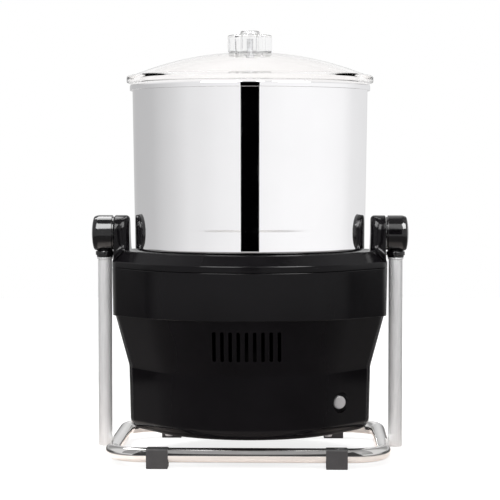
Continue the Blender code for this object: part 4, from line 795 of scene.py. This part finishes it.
granite, tree, granite_shader = new_finish("dark_granite", granite_colour, 0.6)
fleck_place = add_node(tree, "TexCoord", "Object")
flecks = add_node(tree, "TexVoronoi", "Color", {"Scale": 700.0, "Vector": fleck_place})
fleck_split = add_node(tree, "SeparateColor", None, {"Color": flecks})
feed(tree, granite_shader, {"Base Color": ramp(tree, fleck_split["Red"], granite_flecks),
                            "Roughness": spread(tree, fleck_split["Green"], 0.4, 0.8, 0.0),
                            "Normal": raised(tree, pattern(tree, 1200.0), 0.5, 0.08 * mm)})
bed_shape = lathe(rounded([
    (bed_land, bed_at(bed_land), 2), (bed_radius, bed_at(bed_radius), 1.6), (bed_radius, bed_foot, 0.8),
    (bed_bore, bed_foot, 0.0), (bed_bore, bed_at(bed_land), 0.6)]), 120)
finished("granite_bed", bed_shape, granite, "drum_assembly", "bed_stone")
for hand, side in hands:
    roller = lathe(rounded([
        (roller_bore, roller_near, 0.8), (roller_inner, roller_near, 1.6),
        (roller_outer, roller_far, 2.6), (roller_bore, roller_far, 0.8)]), 96)
    finished("granite_roller_" + hand, along_x(roller, side, 0.0, roller_height), granite,
             hand + "_roller", "roller_stone_" + hand)

# Stone holder: a black moulded arm held on the spindle by a lock knob. Its steel axles carry the
# stones on nylon bushes, a steel scraper hangs from it, and a nylon ring clamps the bed.
keep_cad(matte_black, "stone_holder", "lock_knob")
keep_cad(satin_steel, "roller_axle_left", "roller_axle_right", "scraper")
keep_cad(nylon, "roller_bush_left", "roller_bush_right", "bed_clamp_ring")

# Lid: a shallow clear dome with a flanged band that sits on the rim, and a clear six-lobed knob
# held from below by one steel screw. Both are moulded in clear plastic.
lid_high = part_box("lid_shell")[1]
flange_radius = lid_high.x
lid_crown = lid_high.z
lid_seat = drum_rim + 0.3 * mm
flange_top = drum_rim + 7.4 * mm
lid_wall = 2.2 * mm
skirt = bead_outer - 2 * (bead_radius + 0.3 * mm)
skirt_inner, skirt_foot = skirt - lid_wall, drum_rim - 5 * mm
knob_low, knob_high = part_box("lid_knob")
knob_foot = knob_low.z
knob_rise = knob_high.z - knob_low.z
knob_outer = knob_high.x
lobes, knob_points = 6, 180
flute_half_angle, flute_depth = radians(14), 0.26
# Each level of the knob: share of its radius, share of its height, share of the flutes' depth.
knob_levels = (
    (0.36, 0.0, 0.0), (0.93, 0.0, 1.0), (0.97, 0.02, 1.0), (0.985, 0.06, 1.0), (1.0, 0.20, 1.0),
    (1.0, 0.40, 1.0), (1.0, 0.70, 1.0), (0.985, 0.755, 1.0), (0.95, 0.785, 1.0), (0.88, 0.80, 1.0),
    (0.46, 0.805, 0.2), (0.43, 0.82, 0.0), (0.42, 0.86, 0.0), (0.415, 0.95, 0.0), (0.39, 0.985, 0.0),
    (0.34, 1.0, 0.0))


def mixed(tree, share, first, second):
    """Two shaders blended by a share."""
    return add_node(tree, "MixShader", "Shader", {0: share, 1: first, 2: second})


def clear_finish(name, roughness, bend, colour=(1.0, 0.99, 0.985)):
    """Clear moulded plastic: light and lamps pass, with a trace of waviness on the skin."""
    glass = {"Transmission Weight": 1.0, "IOR": bend}
    made, tree, shader = new_finish(name, colour, roughness, more=glass)
    feed(tree, shader, {"Roughness": spread(tree, pattern(tree, 60.0), roughness * 0.5, roughness * 1.5),
                        "Normal": raised(tree, pattern(tree, 30.0, detail=1.0), 0.02, 0.1 * mm)})
    passing = add_node(tree, "BsdfTransparent", "BSDF", {"Color": (0.94, 0.945, 0.95, 1.0)})
    in_shadow = add_node(tree, "LightPath", "Is Shadow Ray")
    both = mixed(tree, in_shadow, shader.outputs["BSDF"], passing)
    feed(tree, tree.nodes["Material Output"], {"Surface": both})
    return made


def dome_line(crown, edge_radius, edge_height, steps=18):
    """A shallow dome's profile from near the axis to its edge: a spherical cap eased at the rim."""
    points = []
    inner = 2.6 * mm / edge_radius
    for i in range(steps + 1):
        share = inner + (1 - inner) * i / steps
        points.append((edge_radius * share, edge_height + (crown - edge_height) * (1 - share ** 2.1)))
    return points


lid_profile = dome_line(lid_crown, flange_radius * 0.955, flange_top + 0.2 * mm)
lid_profile += rounded([
    (flange_radius * 0.96, flange_top, 0.0), (flange_radius, flange_top, 2.0),
    (flange_radius, lid_seat, 1.4), (skirt, lid_seat, 0.5), (skirt, skirt_foot, 0.6),
    (skirt_inner, skirt_foot, 0.6), (skirt_inner, flange_top - lid_wall - 1.5 * mm, 0.0)], 5)
lid_profile += dome_line(lid_crown - lid_wall, skirt_inner, flange_top - lid_wall)[::-1]
lid_clear = clear_finish("lid_clear", 0.02, 1.06)
finished("clear_lid", lathe(lid_profile, 144), lid_clear, "lid", "lid_shell")

knob = bmesh.new()
rows = []
for radius_share, height_share, flute_share in knob_levels:
    row = []
    for i in range(knob_points):
        angle = 2 * pi * i / knob_points
        off_flute = abs((angle * lobes / (2 * pi)) % 1.0 - 0.5) * 2 * pi / lobes
        dip = 0.5 + 0.5 * cos(pi * min(1.0, (pi / lobes - off_flute) / flute_half_angle))
        radius = knob_outer * radius_share * (1 - flute_depth * flute_share * dip)
        row.append(knob.verts.new((radius * cos(angle), radius * sin(angle),
                                   knob_foot + knob_rise * height_share)))
    rows.append(row)
knob_clear = clear_finish("knob_clear", 0.03, 1.49, (0.93, 0.93, 0.93))
finished("clear_lobed_knob", capped(knob, rows), knob_clear, "lid", "lid_knob", crisp=60)
keep_cad(satin_steel, "lid_screw")

# Floor: a plain pale floor. The camera sees it nearly white, with the grinder's shadow; bright metal
# sees it warm under the stand, greyer further out, and with a little glow of its own.
camera_way = radians(1.6)
floor_radius, floor_sides = 2.25, 96
# Each floor tone: distance out, level, and the shares of green and blue in it.
floor_tones = ((0.19, 1.0, 0.92, 0.875), (0.25, 0.20, 0.96, 0.94),
               (0.72, 0.20, 0.98, 0.97), (0.95, 0.55, 0.98, 0.97))


def room_finish(name):
    """An empty material for a piece of the room."""
    made = bpy.data.materials.new(name)
    made.use_nodes = True
    made.node_tree.nodes.clear()
    return made, made.node_tree


def sum_of(tree, operation, *values, clamp=False):
    """The result of one sum on numbers or on other nodes' outputs."""
    return add_node(tree, "Math", "Value", dict(enumerate(values)), operation=operation, use_clamp=clamp)


def added(tree, first, second):
    """Two shaders on top of each other."""
    return add_node(tree, "AddShader", "Shader", {0: first, 1: second})


def diffuse(tree, colour):
    return add_node(tree, "BsdfDiffuse", "BSDF", {"Color": colour})


def glowing(tree, colour, strength=1.0):
    return add_node(tree, "Emission", "Emission", {"Color": colour, "Strength": strength})


def round_about(azimuth, reach, height):
    """A place round the grinder, by its azimuth from straight in front, its reach and its height."""
    return Vector((reach * sin(azimuth), -reach * cos(azimuth), height))


def room_piece(name, points, faces, finish, only_mirrored=True):
    """A piece of the room; all but the floor show only in reflections."""
    mesh = bpy.data.meshes.new(name)
    mesh.from_pydata(points, [], faces)
    mesh.materials.append(finish)
    thing = placed(name, mesh)
    if only_mirrored:
        for sight in ("camera", "diffuse", "shadow", "transmission"):
            setattr(thing, "visible_" + sight, False)
    return thing


floor_finish, tree = room_finish("pale_floor")
floor_place = add_node(tree, "TexCoord", "Object")
floor_reach = add_node(tree, "VectorMath", "Value", {0: floor_place}, operation="LENGTH")
floor_tone = ramp(tree, ranged(tree, floor_reach, 0.0, floor_radius), (
    (0.0, (1.0, 0.92, 0.875)),
    *((out / floor_radius, (level, level * green, level * blue)) for out, level, green, blue in floor_tones),
    (1.0, (0.55, 0.54, 0.53))))
floor_rays = add_node(tree, "LightPath")
own_glow = glowing(tree, floor_tone, sum_of(tree, "MULTIPLY", floor_rays["Is Glossy Ray"], 0.3))
lit_floor = added(tree, diffuse(tree, floor_tone), own_glow)
seen_floor = added(tree, diffuse(tree, (0.35, 0.35, 0.35, 1)), glowing(tree, (1, 1, 1, 1), 0.82))
both_floors = mixed(tree, floor_rays["Is Camera Ray"], lit_floor, seen_floor)
add_node(tree, "OutputMaterial", inputs={"Surface": both_floors})
floor_points = [(floor_radius * cos(2 * pi * i / floor_sides),
                 floor_radius * sin(2 * pi * i / floor_sides), 0.0) for i in range(floor_sides)]
room_piece("floor", floor_points, [tuple(range(floor_sides))], floor_finish, only_mirrored=False)

# Dark screen: a black cloth hung behind the camera and laid on the floor under it. Only reflections
# see it, as the narrow dark band down the middle of the drum.
screen_far, screen_reach, screen_top = 2300 * mm, 1.1, 1.4
screen_spread = tan(radians(8.7))
screen_low = 0.001
far_half, near_half = screen_far * screen_spread, (screen_far - screen_reach) * screen_spread
screen_finish, tree = room_finish("screen_black")
add_node(tree, "OutputMaterial", inputs={"Surface": glowing(tree, (0, 0, 0, 1))})
screen_points = [(-far_half, 0, screen_low), (far_half, 0, screen_low), (far_half, 0, screen_top),
                 (-far_half, 0, screen_top), (-near_half, screen_reach, screen_low),
                 (near_half, screen_reach, screen_low)]
screen = room_piece("dark_screen", screen_points, [(0, 1, 2, 3), (4, 5, 1, 0)], screen_finish)
screen.rotation_euler.z = camera_way
screen.location = round_about(camera_way, screen_far, 0.0)

# Walls: a white room that camera and clear plastic see as plain white. Bright metal sees its walls,
# a little darker at the back left, two grey patches high at the back, and a grey ceiling.
wall_tones = ((-150, 0.53), (-123, 0.545), (-110, 0.56), (-94, 0.645), (-80, 0.71), (-62, 0.83), (-46, 0.86),
              (-30, 0.92), (-15, 0.955), (12, 0.985), (35, 1.03), (68, 1.04), (87, 1.02), (102, 0.985),
              (119, 0.87), (143, 0.83), (162, 0.80))
upper_tones = ((-172, 0.9), (-164, 0.6), (-156, 0.33), (-138, 0.40), (-120, 0.80), (0, 0.90), (120, 0.80),
               (138, 0.40), (156, 0.33), (164, 0.6), (172, 0.9))
soft_level, ceiling_level = 0.50, 0.30
white = (1.0, 1.0, 1.0, 1.0)


def round_tones(tree, source, tones):
    """Tones round the room by the bearing from the camera's side; the ramp holds half of each tone."""
    way = add_node(tree, "TexCoord")[source]
    facing_camera = (0.0, 0.0, pi / 2 - camera_way)
    turn = add_node(tree, "Mapping", "Vector", {"Rotation": facing_camera, "Vector": way})
    bearing = add_node(tree, "TexGradient", "Fac", {"Vector": turn}, gradient_type="RADIAL")
    seam = (tones[0][1] * 0.6,) * 3
    halves = [((angle + 180) / 360, (level / 2, level / 2, level / 2 * 1.008)) for angle, level in tones]
    return way, ramp(tree, bearing, [(0.0, seam), *halves, (1.0, seam)])


def background(tree, colour, strength):
    return add_node(tree, "Background", "Background", {"Color": colour, "Strength": strength})


world = bpy.data.worlds.new("room")
bpy.context.scene.world = world
world.use_nodes = True
room = world.node_tree
room.nodes.clear()
room_rays = add_node(room, "LightPath")
# Clear plastic shows the white too, save where a reflection reaches it through more than three walls.
deep = sum_of(room, "SUBTRACT", room_rays["Transmission Depth"], 3.0, clamp=True)
mirrored = sum_of(room, "MULTIPLY", room_rays["Glossy Depth"], deep)
through = sum_of(room, "MULTIPLY_ADD", mirrored, -20.0, room_rays["Transmission Depth"], clamp=True)
seen = sum_of(room, "ADD", room_rays["Is Camera Ray"], through, clamp=True)
way, wall_tone = round_tones(room, "Generated", wall_tones)
rise = add_node(room, "SeparateXYZ", "Z", {"Vector": way})
upper = mixed(room, ranged(room, rise, 0.88, 0.96),
              background(room, round_tones(room, "Generated", upper_tones)[1], 2.0),
              background(room, white, ceiling_level))
by_height = mixed(room, ranged(room, rise, 0.12, 0.30), background(room, wall_tone, 2.0), upper)
by_gloss = mixed(room, room_rays["Is Glossy Ray"], background(room, white, soft_level), by_height)
by_sight = mixed(room, seen, by_gloss, background(room, white, 1.0))
add_node(room, "OutputWorld", inputs={"Surface": by_sight})

# Low card: a glowing ring some 0.6 m off that only reflections see. Its reflection paints tones on the black
# body below the drum: pale in front and dark at the sides, and darker near the floor. At the back it fades to
# nothing.
ring_radius, ring_low, ring_top, ring_steps = 0.63, 0.0015, 0.160, 72
ring_tones = ((-176, 0.85), (-156, 0.75), (-136, 0.30), (-124, 0.12), (-112, 0.10), (-96, 0.16), (-84, 0.55),
              (-60, 0.80), (0, 0.95), (60, 0.85), (84, 0.55), (96, 0.16), (112, 0.10), (124, 0.12), (136, 0.30),
              (156, 0.75), (176, 0.85))
ring_finish, tree = room_finish("low_card_tones")
place, ring_tone = round_tones(tree, "Object", ring_tones)
split = add_node(tree, "SeparateXYZ", None, {"Vector": place})
ring_glow = glowing(tree, ring_tone, ranged(tree, split["Z"], 0.01, 0.12, 0.5, 2.3))
fade_up = ranged(tree, split["Z"], 0.03, 0.155, easing="SMOOTHSTEP")
fade_back = ranged(tree, split["Y"], 0.1, 0.35)
fade = sum_of(tree, "MULTIPLY", fade_up, fade_back)
open_air = add_node(tree, "BsdfTransparent", "BSDF")
add_node(tree, "OutputMaterial", inputs={"Surface": mixed(tree, fade, ring_glow, open_air)})
ring_points = [round_about(radians(360 * i / ring_steps - 180), ring_radius, level)
               for level in (ring_low, ring_top) for i in range(ring_steps + 1)]
ring_faces = [(i, i + 1, i + ring_steps + 2, i + ring_steps + 1) for i in range(ring_steps)]
room_piece("low_card", ring_points, ring_faces, ring_finish)

# Shades: two level sectors of glowing grey card in front of the grinder, one low and one high. They show only
# from below and only in reflections, where they paint the bright base loop's dark lines.


def under_panel(name, inner, outer, height, half_angle, level, steps=40):
    """A level sector of card that shows from below only, between two radii and two azimuths."""
    points = []
    for i in range(steps + 1):
        azimuth = radians(-half_angle + 2 * half_angle * i / steps)
        points += [round_about(azimuth, radius, height) for radius in (inner, outer)]
    made, tree = room_finish(name + "_tone")
    from_below = add_node(tree, "NewGeometry", "Backfacing")
    clear = add_node(tree, "BsdfTransparent", "BSDF")
    tone = glowing(tree, (level, level, level * 1.01, 1))
    add_node(tree, "OutputMaterial", inputs={"Surface": mixed(tree, from_below, clear, tone)})
    room_piece(name, points, [(2 * i, 2 * i + 1, 2 * i + 3, 2 * i + 2) for i in range(steps)], made)


under_panel("upper_shade", 0.165, 0.85, 0.20, 66, 0.38)
under_panel("lower_shade", 0.155, 0.62, 0.03, 42, 0.05)

# Lamps: three soft boxes light the grinder. Three more stand in front that only reflections see,
# as the bright patches on the hubs and the gloss-black shoulders.
lamp_aim = Vector((0.0, 0.0, 0.2))


def soft_lamp(name, azimuth, elevation, distance, width, height, level, lights=True, shines=True):
    """A soft box that aims at the grinder; level is the brightness its own face shows."""
    lamp = bpy.data.lights.new(name, "AREA")
    lamp.shape = "RECTANGLE"
    lamp.size = width
    lamp.size_y = height
    lamp.energy = level * pi * width * height
    thing = placed(name, lamp)
    tilt = radians(elevation)
    away = round_about(radians(azimuth), cos(tilt), sin(tilt))
    thing.location = lamp_aim + distance * away
    thing.rotation_euler = (-away).to_track_quat("-Z", "Y").to_euler()
    thing.visible_diffuse = lights
    thing.visible_glossy = shines
    thing.visible_transmission = False


for i, (azimuth, width, level) in enumerate(((-29, 1.05, 16.0), (12, 0.20, 2.2), (46, 0.98, 20.0))):
    soft_lamp(f"front_box_{i}", azimuth, 45, 1.9, width, 1.15, level, lights=False)
soft_lamp("key_box", -25, 50, 2.4, 1.6, 1.2, 2.2, shines=False)
soft_lamp("fill_box", 0, 20, 2.3, 1.2, 0.9, 3.8, shines=False)
soft_lamp("top_box", -148, 63, 2.0, 0.9, 1.1, 9.0)

# Camera: a long lens a little under the drum's rim, looking slightly down, as in the photograph.
camera_distance = 1930 * mm
camera_height = 293.4 * mm
camera_pitch = radians(2.6)
focal_pixels, frame_pixels = 1905, 500
camera = bpy.data.cameras.new("camera")
camera.sensor_width = 36.0
camera.lens = camera.sensor_width * focal_pixels / frame_pixels
camera_thing = placed("camera", camera)
camera_thing.location = round_about(camera_way, camera_distance, camera_height)
camera_thing.rotation_euler = (pi / 2 - camera_pitch, 0.0, camera_way)
bpy.context.scene.camera = camera_thing
bpy.context.scene.view_settings.view_transform = "Standard"
